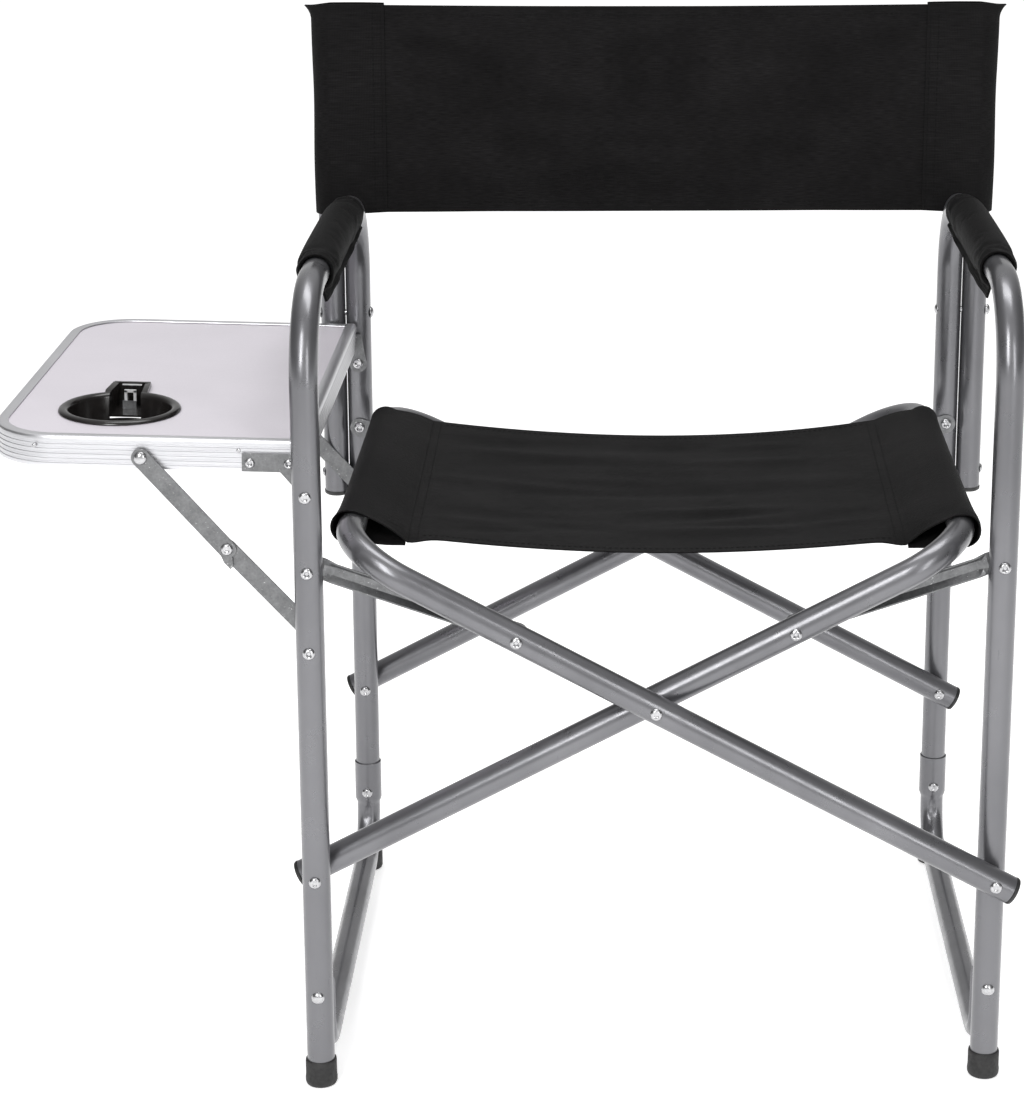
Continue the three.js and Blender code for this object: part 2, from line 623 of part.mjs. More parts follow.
// ---- Slings ----
// Both slings are one closed section: a sleeve round each bar and a panel between them.
// `across` runs from bar to bar and `rise` is the section's other direction.
function slingSection({ half, sleeve, bore, stitch, thick, sag, drop }) {
  const outline = [];
  const steps = 8;
  const top = (across) => {
    const share = across / stitch;
    return drop - sag * (1 - share * share);
  };
  for (let i = 0; i <= steps; i += 1) {
    const across = stitch - (2 * stitch * i) / steps;
    outline.push([across, top(across) + thick / 2]);
  }
  const arc = Array.from({ length: 7 }, (_, i) => {
    const angle = Math.PI * (0.5 + i / 6);
    return [-half + sleeve * Math.cos(angle), sleeve * Math.sin(angle)];
  });
  outline.push(...arc);
  for (let i = steps; i >= 0; i -= 1) {
    const across = stitch - (2 * stitch * i) / steps;
    outline.push([across, top(across) - thick / 2]);
  }
  outline.push(...arc.map(([across, rise]) => [-across, rise]).reverse());
  const holes = [-half, half].map((at) => ring(bore, TUBE_SIDES, new THREE.Vector2(at, 0)));
  return { outline: outline.map(([x, y]) => new THREE.Vector2(x, y)), holes };
}

function slingShape(section, shift = () => new THREE.Vector2()) {
  const moved = (points) => points.map((point) => point.clone().add(shift(point)));
  const shape = new THREE.Shape(moved(section.outline));
  section.holes.forEach((hole) => shape.holes.push(new THREE.Path(moved(hole))));
  return shape;
}

function seatSling() {
  const section = slingSection({
    half: SEAT_RAIL_X, sleeve: 15.6, bore: 14, stitch: 212, thick: 3, sag: 12, drop: -12,
  });
  const shape = slingShape(section, () => new THREE.Vector2(0, RAIL_HEIGHT));
  return solid(plate(shape, SEAT_FRONT, SEAT_REAR));
}

function backSling() {
  const half = LEG_X + LAYER;
  const section = slingSection({
    half, sleeve: 15, bore: TUBE_BORE + CLEARANCE, stitch: 272, thick: 3, sag: 0, drop: 0,
  });
  const middle = DEPTH + LAYER / 2;
  const shape = slingShape(section, ({ x }) => new THREE.Vector2(0, middle + (x / half) * (LAYER / 2)));
  const geometry = new THREE.ExtrudeGeometry(shape, { depth: BACK_TOP - BACK_BOTTOM, bevelEnabled: false });
  return solid(geometry.translate(0, 0, BACK_BOTTOM));
}

// ---- Assembly ----
const chair = new THREE.Group();

function put(name, shape, material, parent = chair) {
  const mesh = new THREE.Mesh(geometryOf(shape), FINISHES[material]());
  mesh.name = name;
  parent.add(mesh);
}

SIDES.forEach((side) => {
  put(`${side.name}_arm_frame`, armFrame(side), 'tube');
  put(`${side.name}_side_rail`, sideRail(side), 'tube');
  put(`${side.name}_front_foot`, frontFoot(side), 'rubber');
  put(`${side.name}_rear_foot`, rearFoot(side), 'rubber');
  put(`${side.name}_back_post`, backPost(side), 'tube');
  put(`${side.name}_post_cap`, postCap(side), 'plug');
  put(`${side.name}_post_rivet`, postRivet(side), 'rivet');
  put(`${side.name}_arm_pad`, armPad(side), 'foam');
});

SCISSORS.forEach((scissor) => {
  put(`scissor_frame_${scissor.name}`, scissorFrame(scissor), 'tube');
  put(`scissor_${scissor.name}_front_plug`, scissorPlug(scissor, 0), 'plug');
  put(`scissor_${scissor.name}_rear_plug`, scissorPlug(scissor, DEPTH), 'plug');
});

// Each end of the chair: where the two layers' tubes start and stop, and which way the braces lie.
const ENDS = [
  { name: 'front', y: 0, inward: 1 },
  { name: 'rear', y: DEPTH, inward: -1 },
];
ENDS.forEach(({ name, y, inward }) => {
  const near = y - TUBE_RADIUS;
  const far = y + LAYER + TUBE_RADIUS;
  SIDES.forEach((side) => {
    const sign = Math.sign(side.x);
    const face = y + side.layer + inward * TUBE_RADIUS;
    const pin = { x: side.x, z: SCISSOR_PIVOT_HEIGHT, near, far };
    put(`lower_pivot_rivet_${side.name}_${name}`, solid(rivet(pin)), 'rivet');
    put(`${side.name}_${name}_brace`, brace({ side: sign, face, away: inward * CLEARANCE }), 'zinc');
    const strapBack = face + inward * (CLEARANCE + BRACE_THICK);
    const legNear = y + side.layer - TUBE_RADIUS;
    const legFar = y + side.layer + TUBE_RADIUS;
    const legPin = inward > 0 ? { near: legNear, far: strapBack } : { near: strapBack, far: legFar };
    put(`brace_leg_rivet_${side.name}_${name}`,
      solid(rivet({ x: side.x, z: BRACE_PIVOT_HEIGHT, ...legPin })), 'rivet');
    const scissorPin = { x: sign * BRACE_RIVET_X, z: BRACE_RIVET_HEIGHT, near: legNear, far: legFar };
    const open = inward > 0 ? { tail: false } : { head: false };
    put(`brace_scissor_rivet_${side.name}_${name}`, solid(rivet({ ...scissorPin, ...open })), 'rivet');
  });
  put(`cross_rivet_${name}`, solid(rivet({ x: 0, z: CROSS_HEIGHT, near, far })), 'rivet');
});

put('seat_sling', seatSling(), 'canvas');
put('back_sling', backSling(), 'canvas');

const table = new THREE.Group();
table.position.set(-LEG_X, 0, TABLE_PIVOT_HEIGHT);
table.rotation.y = TABLE_TILT;
chair.add(table);
const frontPlate = TUBE_RADIUS + CLEARANCE;
const rearPlate = TABLE_REAR + CLEARANCE;
put('table_panel', tablePanel(), 'laminate', table);
put('table_edge_trim', tableTrim(), 'extrusion', table);
put('table_inner_rail', tableInnerRail(), 'extrusion', table);
put('cup_holder', cupHolder(), 'cup', table);
put('table_front_hinge', tableHinge(frontPlate, frontPlate + LINK_THICK), 'zinc', table);
put('table_rear_hinge', tableHinge(rearPlate, rearPlate + LINK_THICK), 'zinc', table);

// Struts: [upper link's near face, lower link's near face] at each end of the table.
const elbow = STRUT_ELBOW;
const tablePin = tablePoint(STRUT_TABLE);
const legPivot = { x: -LEG_X, z: STRUT_PIVOT_HEIGHT };
const upperFront = frontPlate - CLEARANCE - LINK_THICK;
const lowerRear = DEPTH - TUBE_RADIUS - CLEARANCE - LINK_THICK;
const STRUTS = [
  { name: 'front', upper: upperFront, lower: frontPlate },
  { name: 'rear', upper: rearPlate, lower: lowerRear },
];
STRUTS.forEach(({ name, upper, lower }) => {
  const behind = lower > upper;
  const tab = stopTab(upper, LINK_THICK, behind ? upper : lower + 0.4, behind ? lower + 1.6 : upper + LINK_THICK);
  const upperLink = link([tablePin, elbow], upper, upper + LINK_THICK, [tablePin]).add(tab);
  const elbowHole = solid(rivetHole(elbow.x, elbow.z, upper - 5, upper + 7));
  put(`strut_${name}_upper_link`, upperLink.subtract(elbowHole), 'zinc');
  put(`strut_${name}_lower_link`,
    link([elbow, STRUT_TURN, legPivot], lower, lower + LINK_THICK, [elbow, legPivot]), 'zinc');
});

const frontLegFace = -TUBE_RADIUS;
const rearLegBack = DEPTH + TUBE_RADIUS;
const rearLegFace = DEPTH - TUBE_RADIUS;
const pivot = { x: -LEG_X, z: TABLE_PIVOT_HEIGHT };
const spacer = { radius: 5, near: rearPlate + LINK_THICK + CLEARANCE, far: rearLegFace - CLEARANCE };
const frontSpacer = { radius: 5, near: upperFront + LINK_THICK + CLEARANCE, far: TABLE_FRONT - CLEARANCE };
put('table_pivot_rivet_front',
  solid(rivet({ ...pivot, near: frontLegFace, far: frontPlate + LINK_THICK })), 'rivet');
put('table_pivot_rivet_rear', solid(rivet({ ...pivot, near: rearPlate, far: rearLegBack, collar: spacer })), 'rivet');
put('strut_leg_rivet_front',
  solid(rivet({ ...legPivot, near: frontLegFace, far: frontPlate + LINK_THICK })), 'rivet');
put('strut_leg_rivet_rear', solid(rivet({ ...legPivot, near: lowerRear, far: rearLegBack })), 'rivet');
put('strut_table_rivet_front',
  solid(rivet({ ...tablePin, near: upperFront, far: TABLE_FRONT + 1.6, collar: frontSpacer })), 'rivet');
put('strut_table_rivet_rear',
  solid(rivet({ ...tablePin, near: TABLE_REAR - 1.6, far: rearPlate + LINK_THICK })), 'rivet');
put('strut_joint_rivet_front',
  solid(rivet({ ...elbow, near: upperFront, far: upperFront + LINK_THICK, tail: false })), 'rivet');
put('strut_joint_rivet_rear',
  solid(rivet({ ...elbow, near: lowerRear, far: lowerRear + LINK_THICK, head: false })), 'rivet');

// The origin is under the middle of the chair, on the ground.
const bounds = new THREE.Box3().setFromObject(chair);
const middle = bounds.getCenter(new THREE.Vector3());
chair.children.forEach((child) => child.position.sub(new THREE.Vector3(middle.x, middle.y, bounds.min.z)));

export default chair;
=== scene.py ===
import json
from math import atan2, cos, exp, hypot, pi, radians, sin, sqrt, tan

import bmesh
import bpy
import numpy as np
from mathutils import Matrix, Vector

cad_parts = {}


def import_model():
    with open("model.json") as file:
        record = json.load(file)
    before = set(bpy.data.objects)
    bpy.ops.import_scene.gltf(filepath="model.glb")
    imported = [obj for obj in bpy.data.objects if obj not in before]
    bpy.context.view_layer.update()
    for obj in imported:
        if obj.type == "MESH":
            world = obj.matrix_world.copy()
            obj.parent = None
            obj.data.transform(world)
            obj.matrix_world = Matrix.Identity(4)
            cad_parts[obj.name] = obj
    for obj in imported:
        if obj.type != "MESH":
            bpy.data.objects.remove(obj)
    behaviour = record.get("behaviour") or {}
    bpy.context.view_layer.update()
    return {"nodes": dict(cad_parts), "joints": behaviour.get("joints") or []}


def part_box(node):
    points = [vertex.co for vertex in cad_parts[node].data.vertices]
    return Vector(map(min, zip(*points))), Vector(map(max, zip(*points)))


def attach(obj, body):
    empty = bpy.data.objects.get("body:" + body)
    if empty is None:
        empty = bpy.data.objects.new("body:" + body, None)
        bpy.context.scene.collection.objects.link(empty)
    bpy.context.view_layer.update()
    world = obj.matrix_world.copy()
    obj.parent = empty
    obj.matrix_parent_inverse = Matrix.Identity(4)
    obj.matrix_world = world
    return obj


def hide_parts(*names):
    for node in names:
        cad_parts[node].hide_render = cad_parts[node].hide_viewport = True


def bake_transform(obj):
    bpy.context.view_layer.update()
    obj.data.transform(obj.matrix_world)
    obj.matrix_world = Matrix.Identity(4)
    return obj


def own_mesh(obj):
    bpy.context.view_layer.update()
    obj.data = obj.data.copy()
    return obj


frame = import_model()
MM = 0.001


# ---- Places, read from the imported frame, in millimetres from midway between the front feet ----
def middle(node):
    low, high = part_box(node)
    return (low + high) / 2


def low_end(node):
    return local(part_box(node)[0])


def high_end(node):
    return local(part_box(node)[1])


def joint_point(name):
    return next(Vector(j["pos_m"]) for j in frame["joints"] if j["name"] == name)


LEFT_FOOT, RIGHT_FOOT = middle("left_front_foot"), middle("right_front_foot")
ORIGIN = Vector(((LEFT_FOOT.x + RIGHT_FOOT.x) / 2, LEFT_FOOT.y, 0.0))


def local(point):
    """A point of the frame, in millimetres, from midway between the front feet."""
    return (Vector(point) - ORIGIN) / MM


def reshape(piece, moved):
    """Moves each vertex of a piece to moved(x, y, z), in local millimetres."""
    for vertex in piece.data.vertices:
        vertex.co = world(*moved(*((vertex.co - ORIGIN) / MM)))


def world(x, y, z):
    return ORIGIN + Vector((x, y, z)) * MM


TUBE_R = 12.5
LEG_X = local(RIGHT_FOOT).x
LAYER = local(RIGHT_FOOT).y
DEPTH = local(middle("left_post_rivet")).y
LOWER_Z = local(joint_point("fold")).z
CROSS_Z = local(joint_point("scissor_cross")).z
TABLE_Z = local(joint_point("table_fold")).z
ARM_Z = high_end("right_arm_frame").z - TUBE_R
RAIL_X = high_end("scissor_frame_a").x - TUBE_R
RAIL_Z = high_end("scissor_frame_a").z - TUBE_R
BRACE_X = abs(local(middle("brace_scissor_rivet_right_front")).x)
SLOPE = atan2(CROSS_Z - LOWER_Z, LEG_X)

TUBE_SIDES = 40
WALL = 1.2
BEND_STEPS = 18
ARM_BEND = 78.0
RAIL_BEND = 60.0
RUNNER_R = 12.0
RUNNER_Z = 21.0
RUNNER_BEND = 50.0
RUNNER_FRONT_BEND = 42.0
SHEET = 1.3
HEM = 9.0
THREAD_LIFT = 0.75


def clamp(value):
    return min(max(value, 0), 1)


def ease(share):
    return share * share * (3 - 2 * share)


# ---- Meshes ----
def link_object(name, mesh, materials):
    piece = bpy.data.objects.new(name, mesh)
    bpy.context.scene.collection.objects.link(piece)
    for item in materials:
        mesh.materials.append(item)
    return piece


def shade(mesh, angle):
    """Smooth, except at edges that turn by more than an angle in degrees."""
    mesh.polygons.foreach_set("use_smooth", [True] * len(mesh.polygons))
    mesh.set_sharp_from_angle(angle=radians(angle))


def make(name, points, faces, material, smooth=40, uv=None):
    """A mesh piece from points in local millimetres."""
    mesh = bpy.data.meshes.new(name)
    mesh.from_pydata((np.asarray(points, float) * MM + np.array(ORIGIN)).tolist(), [], faces)
    mesh.update()
    if uv is not None:
        layer = mesh.uv_layers.new(name="cloth")
        index = np.zeros(len(mesh.loops), int)
        mesh.loops.foreach_get("vertex_index", index)
        layer.data.foreach_set("uv", np.asarray(uv, np.float32)[index].ravel())
    fix_normals(mesh)
    shade(mesh, smooth)
    return link_object(name, mesh, [material])


def fix_normals(mesh):
    bm = bmesh.new()
    bm.from_mesh(mesh)
    bmesh.ops.recalc_face_normals(bm, faces=bm.faces)
    bm.to_mesh(mesh)
    bm.free()
    mesh.update()


def grid_faces(rows, columns, wrap_columns=True, wrap_rows=False):
    faces = []
    for i in range(rows if wrap_rows else rows - 1):
        for j in range(columns if wrap_columns else columns - 1):
            a, b = i * columns + j, i * columns + (j + 1) % columns
            c, d = ((i + 1) % rows) * columns + (j + 1) % columns, ((i + 1) % rows) * columns + j
            faces.append((a, b, c, d))
    return faces


def closed_grid(rows, columns):
    """A tube of quads with a flat face at each end."""
    last = (rows - 1) * columns
    return grid_faces(rows, columns) + [tuple(range(columns)), tuple(range(last, last + columns))]


def rounded_route(corners, radii):
    corners = [Vector(c) for c in corners]
    points = [corners[0]]
    for here, before, after, radius in zip(corners[1:-1], corners, corners[2:], radii):
        back, ahead = (before - here).normalized(), (after - here).normalized()
        half = back.angle(ahead) / 2
        reach = radius / tan(half)
        centre = here + (back + ahead).normalized() * radius / sin(half)
        start, stop = here + back * reach - centre, here + ahead * reach - centre
        axis = start.cross(stop).normalized()
        turn = start.angle(stop)
        for k in range(BEND_STEPS + 1):
            points.append(centre + Matrix.Rotation(turn * k / BEND_STEPS, 3, axis) @ start)
    points.append(corners[-1])
    return points


def frames_along(points, first_side):
    """A tangent and two steady side directions at each point of a route."""
    frames = []
    side = Vector(first_side)
    for i, point in enumerate(points):
        before, after = points[max(i - 1, 0)], points[min(i + 1, len(points) - 1)]
        if i in (0, len(points) - 1):
            tangent = (after - before).normalized()
        else:
            tangent = ((point - before).normalized() + (after - point).normalized()).normalized()
        side = (side - tangent * side.dot(tangent)).normalized()
        frames.append((tangent, side, tangent.cross(side)))
    return frames


def sweep_tube(name, points, side=(1, 0, 0), shape=None):
    """A coated tube; its ends turn inward so that the wall shows. shape(i, angle) returns the two radii."""
    frames = frames_along(points, side)

    def ring(i, inset, push):
        tangent, u, v = frames[i]
        centre = points[i] + tangent * push
        row = []
        for k in range(TUBE_SIDES):
            angle = 2 * pi * k / TUBE_SIDES
            ru, rv = shape(i, angle) if shape else (TUBE_R, TUBE_R)
            row.append(centre + u * (ru - inset) * cos(angle) + v * (rv - inset) * sin(angle))
        return row

    last = len(points) - 1
    lip = [(WALL, 14), (WALL, 0.4), (WALL * 0.5, 0), (0, 0.5)]
    rings = [ring(0, *step) for step in lip]
    rings += [ring(i, 0, 0) for i in range(1, last)]
    rings += [ring(last, inset, -push) for inset, push in reversed(lip)]
    return make(name, [p for row in rings for p in row], closed_grid(len(rings), TUBE_SIDES), COAT)


def lathe(name, profile, material, place, along=(0, 0, 1), sides=36, smooth=40):
    """A closed turned piece; profile is (radius, height) pairs from axis to axis."""
    turn = Vector((0, 0, 1)).rotation_difference(Vector(along)).to_matrix()
    verts, rings = [], []
    for radius, height in profile:
        if radius < 1e-6:
            rings.append([len(verts)])
            verts.append(Vector((0, 0, height)))
            continue
        rings.append(list(range(len(verts), len(verts) + sides)))
        verts += [Vector((radius * cos(2 * pi * k / sides), radius * sin(2 * pi * k / sides), height))
                  for k in range(sides)]
    faces = []
    for low, high in zip(rings, rings[1:]):
        for k in range(sides):
            after = k + 1
            face = (low[k % len(low)], low[after % len(low)], high[after % len(high)], high[k % len(high)])
            face = tuple(dict.fromkeys(face))
            if len(face) > 2:
                faces.append(face)
    return make(name, [Vector(place) + turn @ v for v in verts], faces, material, smooth)


def cloth_shell(name, surface, lengths, thickness=SHEET, material=None):
    """A closed sheet round a grid of mid-surface points, with a map that follows the cloth."""
    surface = np.asarray(surface, float)
    rows, columns, _ = surface.shape
    du = np.gradient(surface, axis=0)
    dv = np.gradient(surface, axis=1)
    normal = np.cross(du, dv)
    normal /= np.maximum(np.linalg.norm(normal, axis=2, keepdims=True), 1e-9)
    half = thickness / 2
    upper = (surface + normal * half).reshape(-1, 3)
    lower = (surface - normal * half).reshape(-1, 3)
    count = rows * columns
    top = grid_faces(rows, columns, wrap_columns=False)
    faces = top + [tuple(i + count for i in reversed(f)) for f in top]
    border = [j for j in range(columns)] + [i * columns + columns - 1 for i in range(1, rows)]
    border += [(rows - 1) * columns + j for j in range(columns - 2, -1, -1)]
    border += [i * columns for i in range(rows - 2, 0, -1)]
    for a, b in zip(border, border[1:] + border[:1]):
        faces.append((a, b, b + count, a + count))
    u = np.repeat(np.linspace(0, lengths[0], rows), columns)
    v = np.tile(np.linspace(0, lengths[1], columns), rows)
    uv = np.stack([u, v], 1) * MM
    return make(name, np.concatenate([upper, lower]), faces, material or CLOTH, 60,
                np.concatenate([uv, uv]))


def join(name, parts):
    """One piece from several, each keeping its material."""
    mesh = bpy.data.meshes.new(name)
    verts, faces, slots, materials = [], [], [], []
    for part in parts:
        start = len(verts)
        verts += [part.matrix_world @ v.co for v in part.data.vertices]
        for polygon in part.data.polygons:
            faces.append(tuple(start + i for i in polygon.vertices))
            item = part.data.materials[polygon.material_index]
            if item not in materials:
                materials.append(item)
            slots.append(materials.index(item))
    mesh.from_pydata(verts, [], faces)
    mesh.update()
    mesh.polygons.foreach_set("material_index", slots)
    shade(mesh, 40)
    for part in parts:
        old = part.data
        bpy.data.objects.remove(part)
        bpy.data.meshes.remove(old)
    return link_object(name, mesh, materials)


def applied(piece):
    """Makes a piece's modifiers real."""
    shown = piece.evaluated_get(bpy.context.evaluated_depsgraph_get())
    mesh = bpy.data.meshes.new_from_object(shown)
    piece.modifiers.clear()
    old, piece.data = piece.data, mesh
    bpy.data.meshes.remove(old)


def cut(piece, cutter):
    step = piece.modifiers.new("cut", "BOOLEAN")
    step.operation = "DIFFERENCE"
    step.solver = "EXACT"
    step.object = cutter
    bpy.context.view_layer.update()
    applied(piece)
    bpy.data.objects.remove(cutter)
    shade(piece.data, 35)
    return piece


def block(name, low, high, material):
    (a, b, c), (d, e, f) = low, high
    verts = [(a, b, c), (d, b, c), (d, e, c), (a, e, c), (a, b, f), (d, b, f), (d, e, f), (a, e, f)]
    faces = [(0, 3, 2, 1), (4, 5, 6, 7), (0, 1, 5, 4), (1, 2, 6, 5), (2, 3, 7, 6), (3, 0, 4, 7)]
    return make(name, verts, faces, material)


def stand_for(piece, body, slot, *nodes):
    if nodes:
        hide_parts(*nodes)
    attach(piece, body)


# ---- Materials ----
def rgba(value):
    return (*value, 1) if hasattr(value, "__len__") else (value, value, value, 1)


class Nodes:
    """A node tree with helpers that make a node, set its inputs or properties, and link it."""

    def __init__(self, tree):
        self.tree = tree
        self.coords = self.node("ShaderNodeTexCoord")

    def node(self, kind, **values):
        made = self.tree.nodes.new(kind)
        for key, value in values.items():
            if key in made.inputs:
                made.inputs[key].default_value = value
            else:
                setattr(made, key, value)
        return made

    def link(self, a, b):
        self.tree.links.new(a, b)

    def maths(self, operation, *values):
        maths = self.node("ShaderNodeMath", operation=operation)
        for socket, value in zip(maths.inputs, values):
            self.link(value, socket)
        return maths.outputs[0]


class Paint(Nodes):
    """A Principled material with a few named node helpers."""

    def __init__(self, name, colour, roughness, metallic=0.0, **sockets):
        self.material = bpy.data.materials.new(name)
        self.material.use_nodes = True
        super().__init__(self.material.node_tree)
        self.shader = self.tree.nodes["Principled BSDF"]
        self.shader.inputs["Base Color"].default_value = (*colour, 1)
        self.shader.inputs["Roughness"].default_value = roughness
        self.shader.inputs["Metallic"].default_value = metallic
        for key, value in sockets.items():
            self.shader.inputs[key.replace("_", " ")].default_value = value
        self.last_bump = None

    def place(self, scale=(1, 1, 1), use="Object"):
        mapping = self.node("ShaderNodeMapping", Scale=scale)
        self.link(self.coords.outputs[use], mapping.inputs["Vector"])
        return mapping.outputs["Vector"]

    def noise(self, scale, detail=3.0, stretch=(1, 1, 1), use="Object", roughness=0.55):
        noise = self.node("ShaderNodeTexNoise", Scale=scale, Detail=detail, Roughness=roughness)
        self.link(self.place(stretch, use), noise.inputs["Vector"])
        return noise.outputs["Fac"]

    def wave(self, scale, direction):
        wave = self.node("ShaderNodeTexWave", wave_type="BANDS", bands_direction=direction, Scale=scale)
        self.link(self.place((1, 1, 1), "UV"), wave.inputs["Vector"])
        return wave.outputs["Fac"]

    def ramp(self, factor, *stops):
        ramp = self.node("ShaderNodeValToRGB")
        while len(ramp.color_ramp.elements) < len(stops):
            ramp.color_ramp.elements.new(0.5)
        for element, (place, value) in zip(ramp.color_ramp.elements, stops):
            element.position = place
            element.color = rgba(value)
        self.link(factor, ramp.inputs["Fac"])
        return ramp.outputs["Color"]

    def mix(self, factor, a, b, blend="MIX"):
        mix = self.node("ShaderNodeMix", data_type="RGBA", blend_type=blend)
        for index, value in ((0, factor), (6, a), (7, b)):
            if isinstance(value, (int, float)):
                mix.inputs[index].default_value = value
            elif isinstance(value, tuple):
                mix.inputs[index].default_value = (*value, 1)
            else:
                self.link(value, mix.inputs[index])
        return mix.outputs[2]

    def colour(self, value):
        self.link(value, self.shader.inputs["Base Color"])

    def roughness(self, value):
        self.link(value, self.shader.inputs["Roughness"])

    def bump(self, height, strength, distance):
        bump = self.node("ShaderNodeBump", Strength=strength, Distance=distance)
        self.link(height, bump.inputs["Height"])
        if self.last_bump:
            self.link(self.last_bump, bump.inputs["Normal"])
        self.last_bump = bump.outputs["Normal"]
        self.link(self.last_bump, self.shader.inputs["Normal"])


def powder_coat():
    paint = Paint("silver_powder_coat", (0.17, 0.17, 0.18), 0.3, 0.75, Coat_Weight=0.35, Coat_Roughness=0.14)
    broad = paint.noise(14, 3, (1, 1, 0.3))
    fine = paint.noise(2600, 2)
    tone = paint.ramp(broad, (0.3, (0.146, 0.146, 0.155)), (0.7, (0.190, 0.190, 0.201)))
    scuff = paint.ramp(paint.noise(160, 8, (1, 1, 0.25), roughness=0.7), (0.66, 0.0), (0.74, 0.5))
    paint.colour(paint.mix(scuff, tone, (0.09, 0.09, 0.095)))
    paint.roughness(paint.ramp(paint.noise(60, 4), (0.35, 0.27), (0.7, 0.36)))
    paint.bump(fine, 0.10, 0.00012)
    return paint.material


def galvanised():
    paint = Paint("galvanised_strap", (0.22, 0.225, 0.23), 0.42, 0.85)
    flakes = paint.node("ShaderNodeTexVoronoi", Scale=420.0)
    paint.link(paint.place(), flakes.inputs["Vector"])
    grain = paint.ramp(flakes.outputs["Distance"], (0.0, (0.135, 0.137, 0.14)), (0.9, (0.23, 0.232, 0.236)))
    cloud = paint.noise(90, 6, roughness=0.65)
    cloud = paint.ramp(cloud, (0.35, (0.13, 0.132, 0.135)), (0.7, (0.25, 0.252, 0.256)))
    tone = paint.mix(0.55, grain, cloud)
    pits = paint.ramp(paint.noise(420, 3, roughness=0.8), (0.66, 0.0), (0.70, 1.0))
    paint.colour(paint.mix(pits, tone, (0.70, 0.70, 0.70)))
    paint.roughness(paint.ramp(paint.noise(200, 4), (0.3, 0.34), (0.75, 0.55)))
    paint.bump(paint.noise(1300, 3), 0.3, 0.0002)
    return paint.material


def brushed_extrusion():
    paint = Paint("ribbed_aluminium", (0.58, 0.58, 0.60), 0.26, 0.95)
    streak = paint.noise(160, 3, (0.05, 0.05, 1.6), roughness=0.5)
    paint.colour(paint.ramp(streak, (0.3, (0.60, 0.60, 0.62)), (0.7, (0.68, 0.68, 0.70))))
    paint.roughness(paint.ramp(streak, (0.3, 0.36), (0.75, 0.42)))
    paint.bump(streak, 0.02, 0.0001)
    return paint.material


def canvas(name, dark):
    """Plain woven polyester, warp and weft a little under a millimetre apart."""
    paint = Paint(name, (0.016, 0.0155, 0.016), 0.72, 0.0, Specular_IOR_Level=0.10,
                  Sheen_Weight=0.02, Sheen_Roughness=0.4)
    weave = paint.maths("MULTIPLY", paint.wave(370, "X"), paint.wave(420, "Y"))
    slub = paint.noise(90, 5, (1, 14, 1), "UV", 0.6)
    cloud = paint.noise(11, 5, (1, 1, 1), "UV", 0.6)
    thread = paint.ramp(slub, (0.3, (0.0030 * dark, 0.0028 * dark, 0.0029 * dark)),
                        (0.72, (0.0135 * dark, 0.0128 * dark, 0.0132 * dark)))
    wide = paint.ramp(cloud, (0.3, 0.62), (0.7, 1.40))
    fine = paint.ramp(weave, (0.0, 0.72), (0.8, 1.15))
    paint.colour(paint.mix(1.0, paint.mix(1.0, thread, wide, "MULTIPLY"), fine, "MULTIPLY"))
    paint.bump(weave, 0.55, 0.00035)
    paint.bump(paint.noise(60, 4, (1, 4, 1), "UV"), 0.34, 0.0012)
    return paint.material


def speckled(name, base, roughness, metallic, tone, gloss=None, grain=None, **sockets):
    """Tone and gloss are (noise, stop, stop); grain is (noise, strength, distance)."""
    paint = Paint(name, base, roughness, metallic, **sockets)
    paint.colour(paint.ramp(paint.noise(*tone[0]), *tone[1:]))
    if gloss:
        paint.roughness(paint.ramp(paint.noise(*gloss[0]), *gloss[1:]))
    if grain:
        paint.bump(paint.noise(*grain[0]), *grain[1:])
    return paint.material


COAT, ZINC, ALU = powder_coat(), galvanised(), brushed_extrusion()
CLOTH, PAD_CLOTH = canvas("woven_canvas", 1.0), canvas("pad_canvas", 0.6)
STEEL = speckled("bright_rivet", (0.50, 0.50, 0.51), 0.22, 1.0,
                 ((520, 5, (1, 1, 1), "Object", 0.7), (0.35, (0.44, 0.44, 0.45)), (0.65, (0.54, 0.54, 0.55))),
                 ((300, 3), (0.3, 0.18), (0.75, 0.32)), ((420, 2), 0.06, 0.0002))
TOP = speckled("table_laminate", (0.66, 0.62, 0.68), 0.38, 0.0,
               ((9, 4), (0.3, (0.61, 0.58, 0.625)), (0.7, (0.645, 0.612, 0.66))),
               ((420, 3), (0.3, 0.34), (0.7, 0.44)), ((1500, 2), 0.05, 0.0001), Specular_IOR_Level=0.45)
GLOSS = speckled("gloss_black_plastic", (0.011, 0.010, 0.010), 0.16, 0.0,
                 ((60, 4), (0.3, (0.009, 0.008, 0.008)), (0.7, (0.016, 0.014, 0.013))),
                 ((160, 4), (0.3, 0.13), (0.75, 0.24)), Specular_IOR_Level=0.5)
# White of the clip. The same material also makes the bar on the bracket's back, which is a painted highlight.
CLIP_AND_HIGHLIGHT = speckled("clip_and_painted_highlight", (0.78, 0.78, 0.79), 0.4, 0.35,
                  ((260, 3), (0.3, (0.72, 0.72, 0.73)), (0.7, (0.84, 0.84, 0.85))))
RUBBER = speckled("black_rubber", (0.016, 0.016, 0.016), 0.62, 0.0,
                  ((110, 6), (0.3, 0.011), (0.72, (0.026, 0.025, 0.025))),
                  ((300, 4), (0.3, 0.5), (0.75, 0.8)), ((900, 3), 0.2, 0.0003))
PLUG = speckled("moulded_plug", (0.014, 0.014, 0.014), 0.45, 0.0, ((140, 4), (0.3, 0.010), (0.7, 0.022)),
                ((260, 3), (0.3, 0.36), (0.75, 0.56)), ((1800, 2), 0.12, 0.0002))
THREAD = speckled("black_thread", (0.003, 0.003, 0.003), 0.8, 0.0, ((800, 3), (0.3, 0.002), (0.7, 0.005)), None,
                  ((2400, 2, (1, 1, 3)), 0.3, 0.0002), Specular_IOR_Level=0.15)

